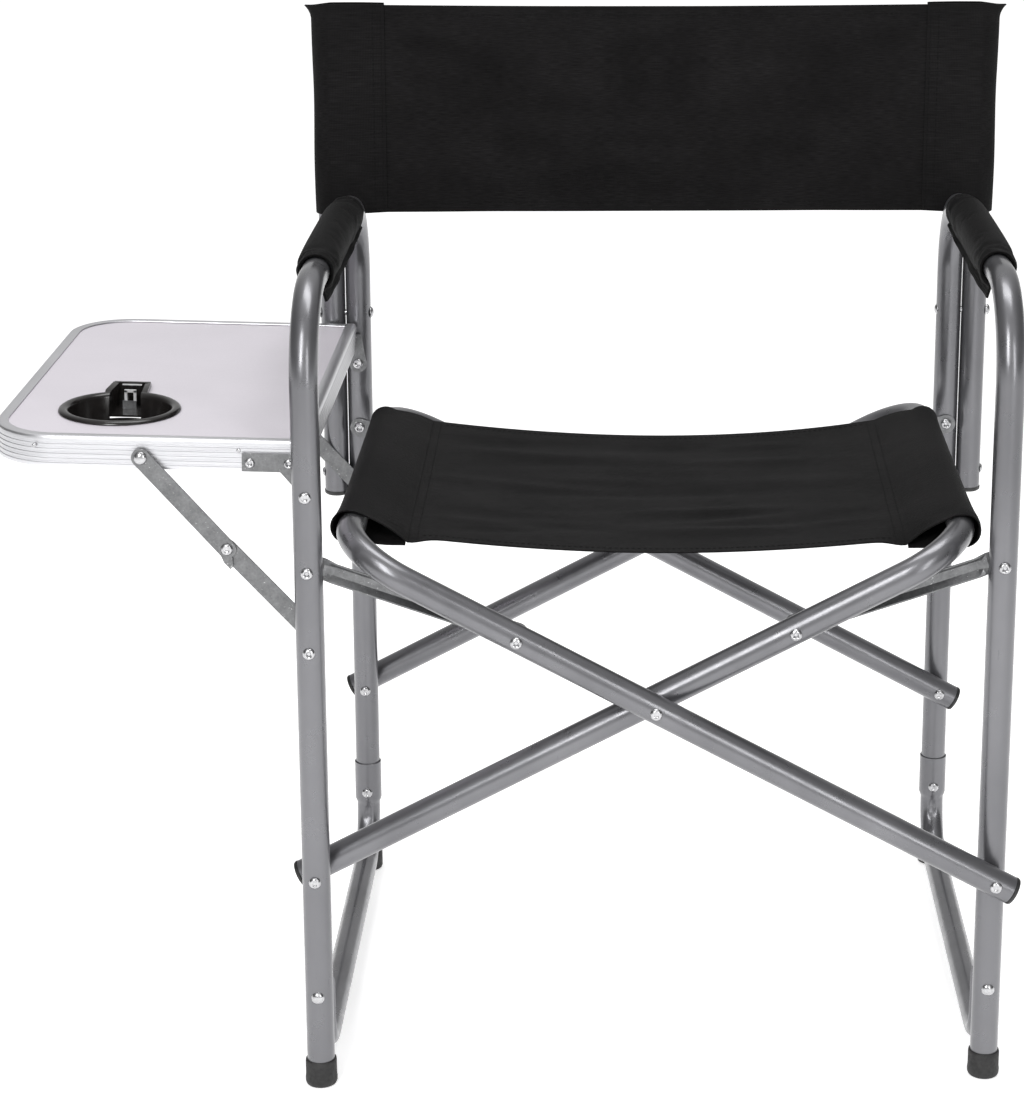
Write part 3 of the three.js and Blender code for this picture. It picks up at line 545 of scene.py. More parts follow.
SIDES = [("left", -1, 0.0), ("right", 1, LAYER)]
ENDS = [("front", 1, 0.0), ("rear", -1, DEPTH)]


# ---- Bent tubes ----
def arm_frame(side, sign, layer):
    x = sign * LEG_X
    corners = [(x, layer, 6), (x, layer, ARM_Z), (x, layer + DEPTH, ARM_Z), (x, layer + DEPTH, 76)]
    piece = sweep_tube(side + "_frame_tube", rounded_route(corners, [ARM_BEND] * 2))
    stand_for(piece, side + "_frame", "tube", side + "_arm_frame")


def side_rail(side, sign, layer):
    """One tube: a wide socket over the rear leg, a bend, a straight run, and a flattened tab in front."""
    x = sign * LEG_X
    tab_y = layer + TUBE_R + 4.2
    top = high_end(side + "_side_rail").z
    corners = [(x, layer + DEPTH, top), (x, layer + DEPTH, RUNNER_Z), (x, tab_y, RUNNER_Z), (x, tab_y, 104)]
    route = rounded_route(corners, [RUNNER_BEND, RUNNER_FRONT_BEND])
    socket = [Vector((x, layer + DEPTH, z)) for z in (top - 4, 90, 82, 78, 76, 74, 72)]
    tab = [Vector((x, tab_y, z)) for z in (72, 82, 92, 98, 101.5)]
    route = [route[0]] + socket + route[1:-1] + tab + [route[-1]]

    def shape(i, angle):
        point = route[i]
        if point.y > layer + DEPTH - 1 and point.z > 60:
            wide = RUNNER_R + 1.9 * ease(clamp((point.z - 72) / 6))
            return wide, wide
        if point.y < tab_y + RUNNER_FRONT_BEND:
            turn = 1.0 if point.z > RUNNER_Z + RUNNER_FRONT_BEND else (
                (tab_y + RUNNER_FRONT_BEND - point.y) / RUNNER_FRONT_BEND)
            share = ease(clamp((turn - 0.15) / 0.7))
            wide, thick = RUNNER_R * (1 + 0.03 * share), RUNNER_R * (1 - 0.72 * share)
            if point.z > 92:
                rest = (point.z - 92) / 12.4
                wide *= sqrt(max(1 - rest * rest, 0.02))
            return wide, thick
        crease = 1.0 - 0.03 * exp(-((angle - pi * 1.5) / 0.12) ** 2)
        return RUNNER_R, RUNNER_R * crease
    piece = sweep_tube(side + "_runner_tube", route, shape=shape)
    press_mark(piece, x, layer + DEPTH)
    stand_for(piece, side + "_frame", "tube", side + "_side_rail")


def press_mark(piece, x, y):
    """The small wedge pressed in below the socket, in front."""
    def pressed(px, py, pz):
        if y - 30 < py < y and 48 < pz < 72:
            width = 6.5 * (72 - pz) / 24 + 1.5
            py += 1.7 * max(0.0, 1 - ((px - x) / width) ** 2) * min((72 - pz) / 3, 1) * min((pz - 48) / 12, 1)
        return px, py, pz
    reshape(piece, pressed)


def back_post(side, _, layer):
    low, high = low_end(side + "_back_post"), high_end(side + "_back_post")
    x = ((low + high) / 2).x
    points = [Vector((x, layer + DEPTH, z)) for z in np.linspace(low.z, high.z, 12)]
    stand_for(sweep_tube(side + "_post_tube", points), side + "_frame", "tube", side + "_back_post")
    bottom = low_end(side + "_post_cap").z
    profile = [(0, 0), (11.2, 0), (12.8, 1.2), (13.1, 2.6), (13.1, 4.4), (11, 4.4), (11, 12), (0, 12)]
    cap = lathe(side + "_post_plug", profile, PLUG, (x, layer + DEPTH, bottom))
    stand_for(cap, side + "_frame", "plug", side + "_post_cap")


def scissor(letter, sign, layer, body):
    past = 16.6
    run = LEG_X + past * cos(SLOPE)
    low = LOWER_Z - past * sin(SLOPE)
    corners = [(-sign * run, layer, low), (sign * RAIL_X, layer, RAIL_Z),
               (sign * RAIL_X, layer + DEPTH, RAIL_Z), (-sign * run, layer + DEPTH, low)]
    piece = sweep_tube("cross_frame_" + letter, rounded_route(corners, [RAIL_BEND] * 2), side=(0, 1, 0))
    stand_for(piece, body, "tube", "scissor_frame_" + letter)
    outward = Vector((-sign * cos(SLOPE), 0, -sin(SLOPE)))
    profile = [(0, -12), (10.6, -12), (10.6, 0.2), (12.6, 0.2), (12.8, 1.4), (12.2, 3.0), (10.4, 3.7), (0, 4.0)]
    for end, y in (("front", 0), ("rear", DEPTH)):
        place = Vector((-sign * run, layer + y, low))
        plug = lathe("cross_%s_%s_cap" % (letter, end), profile, PLUG, place, outward)
        stand_for(plug, body, "plug", "scissor_%s_%s_plug" % (letter, end))


# ---- Feet ----
def feet(side, sign, layer):
    x = sign * LEG_X
    top = high_end(side + "_front_foot").z
    profile = [(0, 0), (11.6, 0), (13.6, 0.8), (14.4, 2.6), (14.5, 6), (14.1, 9), (14.1, top - 2.5),
               (13.7, top - 0.8), (12.9, top), (12.6, top - 0.6), (12.6, 4.6), (0, 4.6)]
    stand_for(lathe(side + "_leg_cap", profile, RUBBER, (x, layer, 0), sides=48), side + "_frame", "rubber",
              side + "_front_foot")
    centre = local(middle(side + "_rear_foot"))
    height = high_end(side + "_rear_foot").z
    profile = [(0, 0), (11.8, 0), (13.6, 0.9), (14.3, 2.8), (14.3, height - 1.5), (13.6, height), (0, height)]
    piece = lathe(side + "_heel_block", profile, RUBBER, (x, centre.y, 0), sides=48)
    corners = [(x, layer + DEPTH, 80), (x, layer + DEPTH, RUNNER_Z), (x, layer + 200, RUNNER_Z)]
    cutter = solid_sweep("cutter", rounded_route(corners, [RUNNER_BEND]), RUNNER_R + 0.4)
    stand_for(cut(piece, cutter), side + "_frame", "rubber", side + "_rear_foot")


def solid_sweep(name, points, radius):
    sides = 32
    verts = []
    for point, (_, u, v) in zip(points, frames_along(points, (1, 0, 0))):
        verts += [point + (u * cos(a) + v * sin(a)) * radius
                  for a in np.linspace(0, 2 * pi, sides, endpoint=False)]
    return make(name, verts, closed_grid(len(points), sides), RUBBER)


# ---- Rivets ----
SHANK = 3.0
RUNNER_RIVET_Z, SOCKET_RIVET_Z, POST_FOOT_RIVET_Z = 89, 86.5, 438
DOME = [(0, 3.0), (1.7, 2.9), (3.2, 2.5), (4.6, 1.7), (5.5, 0.8), (5.8, 0.3), (5.8, 0.0)]
ROLLED = [(0, 0.2), (1.5, 0.2), (1.8, 1.5), (2.4, 2.2), (3.3, 2.5), (4.3, 2.1), (5.1, 1.2), (5.4, 0.3),
          (5.4, 0.0)]
CRIMPED = [(0, 1.5), (1.0, 1.3), (1.9, 1.7), (2.9, 2.3), (3.9, 2.2), (4.9, 1.2), (5.4, 0.3), (5.4, 0.0)]


def rivet(node, body, near_head, far_head, axis=1):
    """A rivet from face to face along an axis, with a head of its own kind at each end, or none."""
    low, high = low_end(node), high_end(node)
    near = low[axis] + (3.0 if near_head else 0)
    far = high[axis] - (2.0 if far_head else 0)
    profile = [(r, near - h) for r, h in near_head] if near_head else [(0, near)]
    profile += [(SHANK, near), (SHANK, far)]
    profile += [(r, far + h) for r, h in reversed(far_head)] if far_head else [(0, far)]
    direction, place = Vector((0, 0, 0)), (low + high) / 2
    direction[axis], place[axis] = 1, 0
    stand_for(lathe(node + "_steel", profile, STEEL, place, direction, sides=32), body, "rivet", node)


def small_rivet(name, body, point, direction, kind=DOME, scale=1.0):
    """A rivet of which only its head shows; its shank goes into what it holds."""
    profile = [(0, -2.5), (2.4 * scale, -2.5), (2.4 * scale, 0)]
    profile += [(r * scale, h * scale) for r, h in reversed(kind)]
    stand_for(lathe(name, profile, STEEL, point, direction, sides=32), body, "rivet")


def all_rivets():
    for end, _, _ in ENDS:
        for side, _, _ in SIDES:
            tag = "%s_%s" % (side, end)
            rivet("lower_pivot_rivet_" + tag, side + "_frame", CRIMPED, DOME)
            rivet("brace_leg_rivet_" + tag, side + "_frame", ROLLED, DOME)
            heads = (ROLLED, None) if end == "front" else (None, DOME)
            rivet("brace_scissor_rivet_" + tag, "scissor_b" if side == "left" else "scissor_a", *heads)
        for name, body, *heads in (
                ("cross", "scissor_a", CRIMPED, DOME), ("table_pivot", "left_frame", CRIMPED, DOME),
                ("strut_leg", "left_frame", ROLLED, DOME), ("strut_table", "table", DOME, CRIMPED)):
            rivet("%s_rivet_%s" % (name, end), body, *heads)
    rivet("strut_joint_rivet_front", "strut_upper", CRIMPED, None)
    rivet("strut_joint_rivet_rear", "strut_lower", None, DOME)
    for side, sign, layer in SIDES:
        body, x = side + "_frame", sign * LEG_X
        rivet(side + "_post_rivet", body, DOME, DOME, axis=0)
        small_rivet(side + "_runner_rivet", body, (x, layer - TUBE_R + 0.2, RUNNER_RIVET_Z), (0, -1, 0))
        small_rivet(side + "_socket_rivet", body, (x, layer + DEPTH - 13.7, SOCKET_RIVET_Z), (0, -1, 0),
                    CRIMPED)
        for name, outward, reach in (("outer", sign, LAYER + TUBE_R), ("inner", -sign, TUBE_R)):
            small_rivet("%s_lower_post_rivet_%s" % (side, name), body,
                        (x + outward * (reach - 0.1), layer + DEPTH, POST_FOOT_RIVET_Z), (outward, 0, 0),
                        CRIMPED, 0.9)
    for end, inward, y in ENDS:
        for side, sign, layer in SIDES:
            place = (sign * BRACE_X, y + layer + inward * (TUBE_R + 1.8), CROSS_Z + BRACE_X * tan(SLOPE))
            small_rivet("%s_%s_brace_tail" % (side, end), side + "_braces", place, (0, inward, 0),
                        CRIMPED, 0.95)
        node = "table_%s_hinge" % end
        low, high = low_end(node), high_end(node)
        face = low.y if end == "front" else high.y
        for k, (along, drop) in enumerate(((7, 8.45), (40.5, 9.1))):
            small_rivet("%s_eyelet_%d" % (node, k), "table", (low.x + along, face, high.z - drop),
                        (0, -inward, 0), ROLLED, 0.82)


# ---- Braces, links and hinge plates keep their solids, with softened edges ----
def soften(node, material, width=0.35):
    piece = frame["nodes"][node]
    piece.data.materials.clear()
    piece.data.materials.append(material)
    step = piece.modifiers.new("edge", "BEVEL")
    step.width = width * MM
    step.segments = 2
    step.limit_method = "ANGLE"
    step.angle_limit = radians(35)
    step.harden_normals = False


def strap_work():
    for side, _, _ in SIDES:
        for end, _, _ in ENDS:
            soften("%s_%s_brace" % (side, end), ZINC, 0.3)
    for end, _, _ in ENDS:
        soften("table_%s_hinge" % end, ZINC)
        soften("strut_%s_upper_link" % end, ZINC)
        soften("strut_%s_lower_link" % end, ZINC)


# ---- Table ----
TILT = radians(1.2)
TABLE_PIVOT = Vector((local(joint_point("table_fold")).x, 0, TABLE_Z))
TABLE_TURN = Matrix.Rotation(TILT, 3, "Y")


def on_table(x, y, z):
    return TABLE_PIVOT + TABLE_TURN @ Vector((x, y, z))


TABLE_NEAR = low_end("table_edge_trim").y
TABLE_FAR = high_end("table_edge_trim").y
TABLE_OUTER, TABLE_INNER = -280.0, -2.0
TABLE_LOW, TABLE_HIGH = 14.0, 42.0
TABLE_CORNER = 60.0
CUP = Vector((-179.0, 109.0))


def trim_outline():
    """The extrusion's section as (height, inward) pairs: a rounded lip, ribs outside, two flanges inside."""
    high, low = TABLE_HIGH, TABLE_LOW
    outline = [(low, 8), (low + 1.4, 8), (low + 1.4, 1.6), (high - 6.7, 1.6), (high - 6.7, 7), (high - 5.3, 7),
               (high - 5.3, 1.6), (high - 1.4, 1.6), (high - 1.4, 9.7), (high - 0.9, 10.2), (high - 0.3, 10.0)]
    outline += [(high, 9.2), (high + 0.1, 5), (high, 2.2), (high - 0.6, 0.9), (high - 1.7, 0.2),
                (high - 2.6, 0)]
    for middle_z in np.linspace(high - 6.5, low + 4.5, 5):
        outline += [(middle_z + 1.0, 0), (middle_z + 0.55, 0.55), (middle_z - 0.55, 0.55), (middle_z - 1.0, 0)]
    outline += [(low + 1.0, 0), (low + 0.3, 0.3), (low, 1.0)]
    return outline


def sweep_trim(name, corners, radii):
    points = rounded_route(corners, radii) if radii else [Vector(c) for c in corners]
    section = trim_outline()
    verts = []
    for i, point in enumerate(points):
        before, after = points[max(i - 1, 0)], points[min(i + 1, len(points) - 1)]
        first = (point - before).normalized() if i else (after - point).normalized()
        second = (after - point).normalized() if i < len(points) - 1 else first
        tangent = (first + second).normalized()
        inward = Vector((tangent.y, -tangent.x, 0))
        stretch = 1 / max(first.dot(tangent), 0.5)
        verts += [on_table(*(point + inward * depth * stretch + Vector((0, 0, z)))) for z, depth in section]
    return make(name, verts, closed_grid(len(points), len(section)), ALU, 30)


def table():
    inner = TABLE_INNER - 10.3
    corners = [(inner, TABLE_NEAR, 0), (TABLE_OUTER, TABLE_NEAR, 0),
               (TABLE_OUTER, TABLE_FAR, 0), (inner, TABLE_FAR, 0)]
    stand_for(sweep_trim("table_rim", corners, [TABLE_CORNER] * 2), "table", "extrusion", "table_edge_trim")
    corners = [(TABLE_INNER, TABLE_FAR, 0), (TABLE_INNER, TABLE_NEAR, 0)]
    stand_for(sweep_trim("table_inner_rim", corners, None), "table", "extrusion", "table_inner_rail")
    soften("table_panel", TOP, 0.3)
    for k, x in enumerate((-236, -60)):
        for side, y, direction in (("front", TABLE_NEAR, -1), ("rear", TABLE_FAR, 1)):
            place = on_table(x, y + direction * 0.05, TABLE_HIGH - 9.2)
            head = [(0, -1), (1.9, -1), (1.9, 0.1), (1.5, 0.6), (0.6, 0.8), (0.5, 0.2), (0, 0.2)]
            screw = lathe("table_%s_screw_%d" % (side, k), head, STEEL, place, (0, direction, 0), 20)
            stand_for(screw, "table", "rivet")
    cup_holder()


def cup_holder():
    rim = TABLE_HIGH - 1.4
    floor = low_end("cup_holder").z - TABLE_Z - 3.4
    outer, inner, flange = 46.3, 44.7, 54.2
    profile = [(0, floor), (40, floor), (43.6, floor + 1.2), (outer - 0.9, floor + 4), (outer, rim - 0.2),
               (flange - 0.6, rim), (flange, rim + 0.7), (flange - 0.5, rim + 1.9), (flange - 2.4, rim + 3.2),
               (flange - 4.6, rim + 3.6), (flange - 7.0, rim + 3.0), (inner + 0.6, rim + 1.4),
               (inner, rim - 0.6), (inner - 0.9, floor + 5.6), (42.2, floor + 2.8), (39.6, floor + 1.7),
               (0, floor + 1.7)]
    up = TABLE_TURN @ Vector((0, 0, 1))
    bowl = lathe("bowl", profile, GLOSS, on_table(CUP.x, CUP.y, 0), up, sides=96, smooth=35)
    slot_x, wide = CUP.x - 3, 14.0
    near, far = CUP.y + 50, CUP.y + 84
    cutter = block("slot_cutter", (slot_x - wide, near - 22, rim - 20), (slot_x + wide, far - 4, rim + 8),
                   GLOSS)
    tilt_block(cutter)
    cut(bowl, cutter)
    whole = join("cup_insert", [bowl] + notch_bracket(slot_x, near, far, rim))
    stand_for(whole, "table", "cup", "cup_holder")


def tilt_block(piece):
    """Turns a piece drawn level, with the table's hinge as its origin, into its place on the table."""
    reshape(piece, on_table)


def notch_bracket(x, near, far, rim):
    """The raised frame behind the cup: two cheeks, a back, a floor, a bright clip and its grey tongue, and a
    bright bar on the back's front face near its top, which is a painted highlight.
    """
    parts = []
    top = rim + 4.4
    for k, sign in enumerate((-1, 1)):
        verts = []
        for y, half, z in ((near - 6, 19.4, rim), (near + 2, 19.2, top), (far - 3, 17.2, top),
                           (far, 17.0, rim + 1.5), (far, 17.0, rim - 18), (near - 6, 19.4, rim - 18)):
            verts += [(x + sign * (half - 5.2), y, z - (0.9 if z > rim else 0)), (x + sign * half, y, z)]
        count = len(verts) // 2
        faces = [(2 * i, 2 * i + 1, (2 * i + 3) % len(verts), (2 * i + 2) % len(verts)) for i in range(count)]
        faces += [tuple(range(0, len(verts), 2)), tuple(range(1, len(verts), 2))]
        parts.append(make("bracket_cheek_%d" % k, verts, faces, GLOSS))
    clip = near + 19
    for name, low, high, material in (
            ("back", (-16.5, far - 3.6, -18), (16.5, far - 0.4, 4.2), GLOSS),
            # The bar is a painted highlight: a bright block where the back's upper inner rim would catch the
            # light.
            ("edge", (-9, far - 4.4, 1.4), (9, far - 3.5, 2.6), CLIP_AND_HIGHLIGHT),
            ("floor", (-16.5, near - 6, -19), (16.5, far, -17.2), GLOSS),
            ("leg_0", (-5.4, clip, -11), (-2.9, clip + 2, -0.8), CLIP_AND_HIGHLIGHT),
            ("leg_1", (2.9, clip, -11), (5.4, clip + 2, -0.8), CLIP_AND_HIGHLIGHT),
            ("top", (-5.4, clip, -2.6), (5.4, clip + 2, -0.2), CLIP_AND_HIGHLIGHT),
            ("tongue", (-6.4, clip - 4, -17.6), (6, clip - 2.4, -9.6), ZINC)):
        at = Vector((x, 0, rim))
        parts.append(block("bracket_" + name, at + Vector(low), at + Vector(high), material))
    for part in parts:
        tilt_block(part)
    return parts


# ---- Fabric ----
def stitch_row(name, path, normals):
    """Small raised stitches along a path; one mesh."""
    pitch, length, width = 5.2, 3.4, 0.9
    points = [Vector(p) for p in path]
    ups = [Vector(n).normalized() for n in normals]
    gaps = [(b - a).length for a, b in zip(points, points[1:])]
    total = sum(gaps)
    verts, faces = [], []
    travelled = pitch / 2
    while travelled < total - length / 2:
        left, k = travelled, 0
        while k < len(gaps) - 1 and left > gaps[k]:
            left -= gaps[k]
            k += 1
        share = left / gaps[k]
        centre = points[k].lerp(points[k + 1], share)
        along = (points[k + 1] - points[k]).normalized()
        up = ups[k].lerp(ups[k + 1], share).normalized()
        across = along.cross(up).normalized()
        start = len(verts)
        for t, height in ((-0.5, 0.0), (-0.28, 0.75), (0.28, 0.75), (0.5, 0.0)):
            for s, drop in ((-0.5, 0.0), (0.0, 1.0), (0.5, 0.0), (0.0, -0.6)):
                sideways = across * width * s * (0.35 + 0.65 * height)
                verts.append(centre + along * length * t + sideways + up * (0.45 * height * drop + 0.05))
        for ring in range(3):
            for q in range(4):
                a = start + ring * 4
                faces.append((a + q, a + (q + 1) % 4, a + 4 + (q + 1) % 4, a + 4 + q))
        faces.append((start, start + 3, start + 2, start + 1))
        faces.append((start + 12, start + 13, start + 14, start + 15))
        travelled += pitch
    return make(name, verts, faces, THREAD, 60)


def creases(x, y, folds):
    """Soft folds; each is (x, y, heading in degrees, half length, half width, height), all in millimetres."""
    total = np.zeros(np.broadcast(x, y).shape)
    for at_x, at_y, heading, long, wide, height in folds:
        turn = radians(heading)
        along = (x - at_x) * cos(turn) + (y - at_y) * sin(turn)
        across = -(x - at_x) * sin(turn) + (y - at_y) * cos(turn) + 0.0006 * along * along
        total = total + height * np.exp(-(along / long) ** 2 - (across / wide) ** 2)
    return total


def strewn(seed, count, width, low, high, slant, long, wide, height):
    draw = np.random.default_rng(seed)
    folds = []
    for _ in range(count):
        folds.append((draw.uniform(-width, width), draw.uniform(low, high), draw.normal(0, slant),
                      draw.uniform(0.5, 1.2) * long, draw.uniform(0.7, 1.3) * wide,
                      draw.choice([-1, 1]) * draw.uniform(0.5, 1.1) * height))
    return folds


SEAT_NEAR = low_end("seat_sling").y + 2
SEAT_FAR = high_end("seat_sling").y
SEAT_WING = {-1: 2.0, 1: 12.0}
SEAT_FRONT = {-1: 16.0, 1: 14.0}
SEAT_STITCH = 222.0
SEAT_SLEEVE = 14.4


def seat_end(x):
    """The rear hem, which reaches further back at the rails than in the middle."""
    return SEAT_FAR + SEAT_WING[1 if x > 0 else -1] * min(abs(x) / SEAT_STITCH, 1) ** 3


SEAT_FOLDS = strewn(3, 26, 190, SEAT_NEAR + 20, SEAT_FAR - 20, 5, 95, 11, 2.0)
SEAT_FOLDS += [(-150, 150, 8, 60, 9, 2.2), (-150, 122, 14, 50, 8, -2.0), (60, 200, -4, 120, 11, 2.6),
               (-20, 250, 3, 120, 10, -2.2), (80, 140, -6, 90, 9, 2.2), (10, 330, 2, 140, 12, 1.6)]


def seat_height(x, y):
    """The panel's mid surface between its stitch rows."""
    u = x / SEAT_STITCH
    v = (y - SEAT_NEAR) / (SEAT_FAR - SEAT_NEAR)
    base = 479.0 - 3.0 * sin(pi * clamp(v)) + 15.0 * max(v, 0) ** 1.6
    edge = 493.0 + 14.5 * max(v, 0) ** 1.3
    rise = abs(u) ** 1.9
    corner = 5.5 * exp(-((abs(x) - SEAT_STITCH) / 16) ** 2 - (y - SEAT_NEAR) / 14)
    fade = 1 - abs(u) ** 4
    return base * (1 - rise) + edge * rise - corner + fade * float(creases(x, y, SEAT_FOLDS))


def seat_sling():
    """One sheet: under the left rail, over it, across, over the right rail and back under it."""
    share = np.linspace(0, 1, 72)
    rows = []
    for x in np.linspace(-SEAT_STITCH, SEAT_STITCH, 104)[1:-1]:
        ys = SEAT_NEAR + (seat_end(x) - SEAT_NEAR) * share
        rows.append([(x, y, seat_height(x, y)) for y in ys])
    surface = np.array(sleeve_rows(-1, share)[::-1] + rows + sleeve_rows(1, share))
    spans = np.linalg.norm(np.diff(surface[:, 36], axis=0), axis=1).sum()
    width = SEAT_FAR + SEAT_WING[1] - SEAT_NEAR
    piece = cloth_shell("seat_cloth", surface, (spans, width))
    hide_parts("seat_sling")
    threads = seat_threads(share)
    for item in (piece, threads):
        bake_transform(item)


def rail_centre(sign, y):
    """Where a seat rail's centre is at y; past either bend it has begun to turn inward and down."""
    first = (LAYER if sign > 0 else 0) + RAIL_BEND
    past = max(first - y, y - (first + DEPTH - 2 * RAIL_BEND), 0)
    inward = RAIL_BEND - sqrt(RAIL_BEND ** 2 - past ** 2)
    return np.array([sign * (RAIL_X - inward * cos(SLOPE)), RAIL_Z - inward * sin(SLOPE)])


def sleeve_point(sign, part, t, y, near):
    """A point of the sleeve: over from the stitch row, round the rail, or back under it."""
    centre = rail_centre(sign, y)
    top = np.array([sign * SEAT_STITCH, seat_height(SEAT_STITCH, max(y, SEAT_NEAR))])
    inward, whole = radians(112), radians(112 + 118)
    if part == "over":
        meet = centre + SEAT_SLEEVE * np.array([sign * cos(inward), sin(inward)])
        return top + (meet - top) * t + np.array([0, 2.2 * sin(pi * t) - 1.6 * (ease(t) - t)])
    angle = inward - (t if part == "round" else 1.0) * whole
    loose = 2.2 * clamp((y - 385) / 35) ** 1.5 * max(sin(angle), 0)
    flare = 4.0 * exp((near - y) / 22) * max(cos(angle), 0)
    turn = centre + (SEAT_SLEEVE + loose + flare) * np.array([sign * cos(angle), sin(angle)])
    if part == "round":
        return turn
    below = top + np.array([sign * 2.0, -2.6])
    return turn + (below - turn) * t + np.array([0, -2.0 * sin(pi * t)])


def sleeve_rows(sign, share):
    """From the stitch row over the top of the rail, round it, and back below to the stitch row."""
    spots = [("over", t, t) for t in np.linspace(0, 1, 9)[1:-1]]
    spots += [("round", t, 1.0) for t in np.linspace(0, 1, 20)]
    spots += [("under", t, 1 - t) for t in np.linspace(0, 1, 8)[1:]]
    far = seat_end(SEAT_STITCH * sign)
    rows = []
    for part, t, reach in spots:
        near = SEAT_NEAR - SEAT_FRONT[sign] * reach ** 1.5
        row = []
        for y in near + (far - near) * share:
            x, z = sleeve_point(sign, part, t, y, near)
            row.append((x, y, z))
        rows.append(row)
    top = [(sign * SEAT_STITCH, y, seat_height(SEAT_STITCH, y)) for y in SEAT_NEAR + (far - SEAT_NEAR) * share]
    return [top] + rows


def seat_threads(share):
    parts = []
    for k, x in enumerate((-SEAT_STITCH + 0.5, -SEAT_STITCH + 8.5, SEAT_STITCH - 8.5, SEAT_STITCH - 0.5)):
        ys = SEAT_NEAR + 1 + (seat_end(x) - SEAT_NEAR - 2) * share
        path = [(x, y, seat_height(x, y) + THREAD_LIFT) for y in ys]
        parts.append(stitch_row("seat_seam_%d" % k, path, [(0, 0, 1)] * len(path)))
    xs = np.linspace(-SEAT_STITCH + 12, SEAT_STITCH - 12, 90)
    for name in ("front", "rear"):
        line = [SEAT_NEAR + HEM if name == "front" else seat_end(x) - HEM for x in xs]
        path = [(x, y, seat_height(x, y) + THREAD_LIFT) for x, y in zip(xs, line)]
        parts.append(stitch_row("seat_hem_" + name, path, [(0, 0, 1)] * len(path)))
    return join("seat_threads", parts)


BACK_LOW = low_end("back_sling").z
BACK_HIGH = high_end("back_sling").z
BACK_STITCH = 274.0
POST_X = abs(local(middle("left_back_post")).x)
BACK_RADIUS = 14.3
V_KEEP = 0.02
LEAN = radians(3.317)


def back_plane(x):
    """The depth of the straight line from post to post."""
    return DEPTH + LAYER / 2 + x / POST_X * LAYER / 2


BACK_FOLDS = strewn(8, 20, 240, BACK_LOW + 30, BACK_HIGH - 25, 6, 110, 12, 2.4)
BACK_FOLDS += [(-215, BACK_HIGH - 38, -12, 60, 8, -2.2), (-190, BACK_HIGH - 60, -28, 70, 11, 2.0),
               (-60, BACK_LOW + 100, -5, 110, 12, 2.2), (-20, BACK_LOW + 82, -4, 120, 10, -1.8),
               (140, BACK_LOW + 96, 4, 110, 13, 1.8), (0, BACK_LOW + 20, 0, 240, 8, 1.8),
               (215, BACK_HIGH - 45, 14, 55, 9, 1.8), (225, BACK_HIGH - 26, 6, 60, 8, -1.6)]


def back_panel_y(x, z):
    u = abs(x) / BACK_STITCH
    hold = clamp((1 - u) * 8)
    belly = 5.0 * max(1 - u ** 2, 0) ** 0.8
    return float(back_plane(x) + belly + hold * creases(x, z, BACK_FOLDS))


def back_top(x):
    """The upper hem lies a little lower in the middle."""
    u = np.abs(x) / POST_X
    return BACK_HIGH - 1.5 - 3.0 * (1 - u ** 2)


def back_bottom(x):
    u = np.abs(x) / POST_X
    return BACK_LOW + 0.5 - 1.0 * (1 - u ** 2)


def back_sling():
    share = np.concatenate([[0, 0.008], np.linspace(0.02, 0.98, 44), [0.992, 1]])
    spread = fold_spread()
    height, middle_z = BACK_HIGH - BACK_LOW, (BACK_LOW + BACK_HIGH) / 2
    for side, sign, layer in SIDES:
        seam = sign * BACK_STITCH
        xs = np.linspace(seam, 0, 46)
        surface = []
        for x in xs:
            zs = back_bottom(x) + (back_top(x) - back_bottom(x)) * share
            surface.append([(x, back_panel_y(x, z), z) for z in zs])
        panel = cloth_shell("back_cloth_" + side, np.array(surface), (BACK_STITCH, height))
        threads = back_hems(side, xs)
        for item in (panel, threads):
            stand_for(item, side + "_frame", "canvas")
            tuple(spread(sign))
            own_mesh(item)
        back_sleeve(side, sign, layer, share)


def fold_spread():
    """The slanted direction in which each half of the back closes, so that the halves meet behind."""
    fold = next(j for j in frame["joints"] if j["name"] == "fold")
    arm = hypot(LEG_X, CROSS_Z - LOWER_Z)
    opened = 2 * arm * cos(SLOPE + radians(max(fold["range_deg"])) + LEAN) / 2
    height = (BACK_LOW + BACK_HIGH) / 2 - LOWER_Z
    gap = opened + (POST_X - LEG_X) + height * sin(LEAN) - (POST_X - BACK_STITCH)
    closing = (BACK_STITCH - gap) / BACK_STITCH / (1 - V_KEEP)
    across = sqrt(closing)
    upward = -tan(LEAN) / ((1 - V_KEEP) * across)
    back = -sqrt(max(1 - across * across - upward * upward, 0.01))

    def direction(sign):
        return (-sign * across, back, upward)
    return direction


def bowed(start, stop, bulge):
    """Eight points from start to stop, swelling backward by bulge halfway."""
    return [start + (stop - start) * t + np.array([0, bulge * sin(pi * t)]) for t in np.linspace(0, 1, 8)]


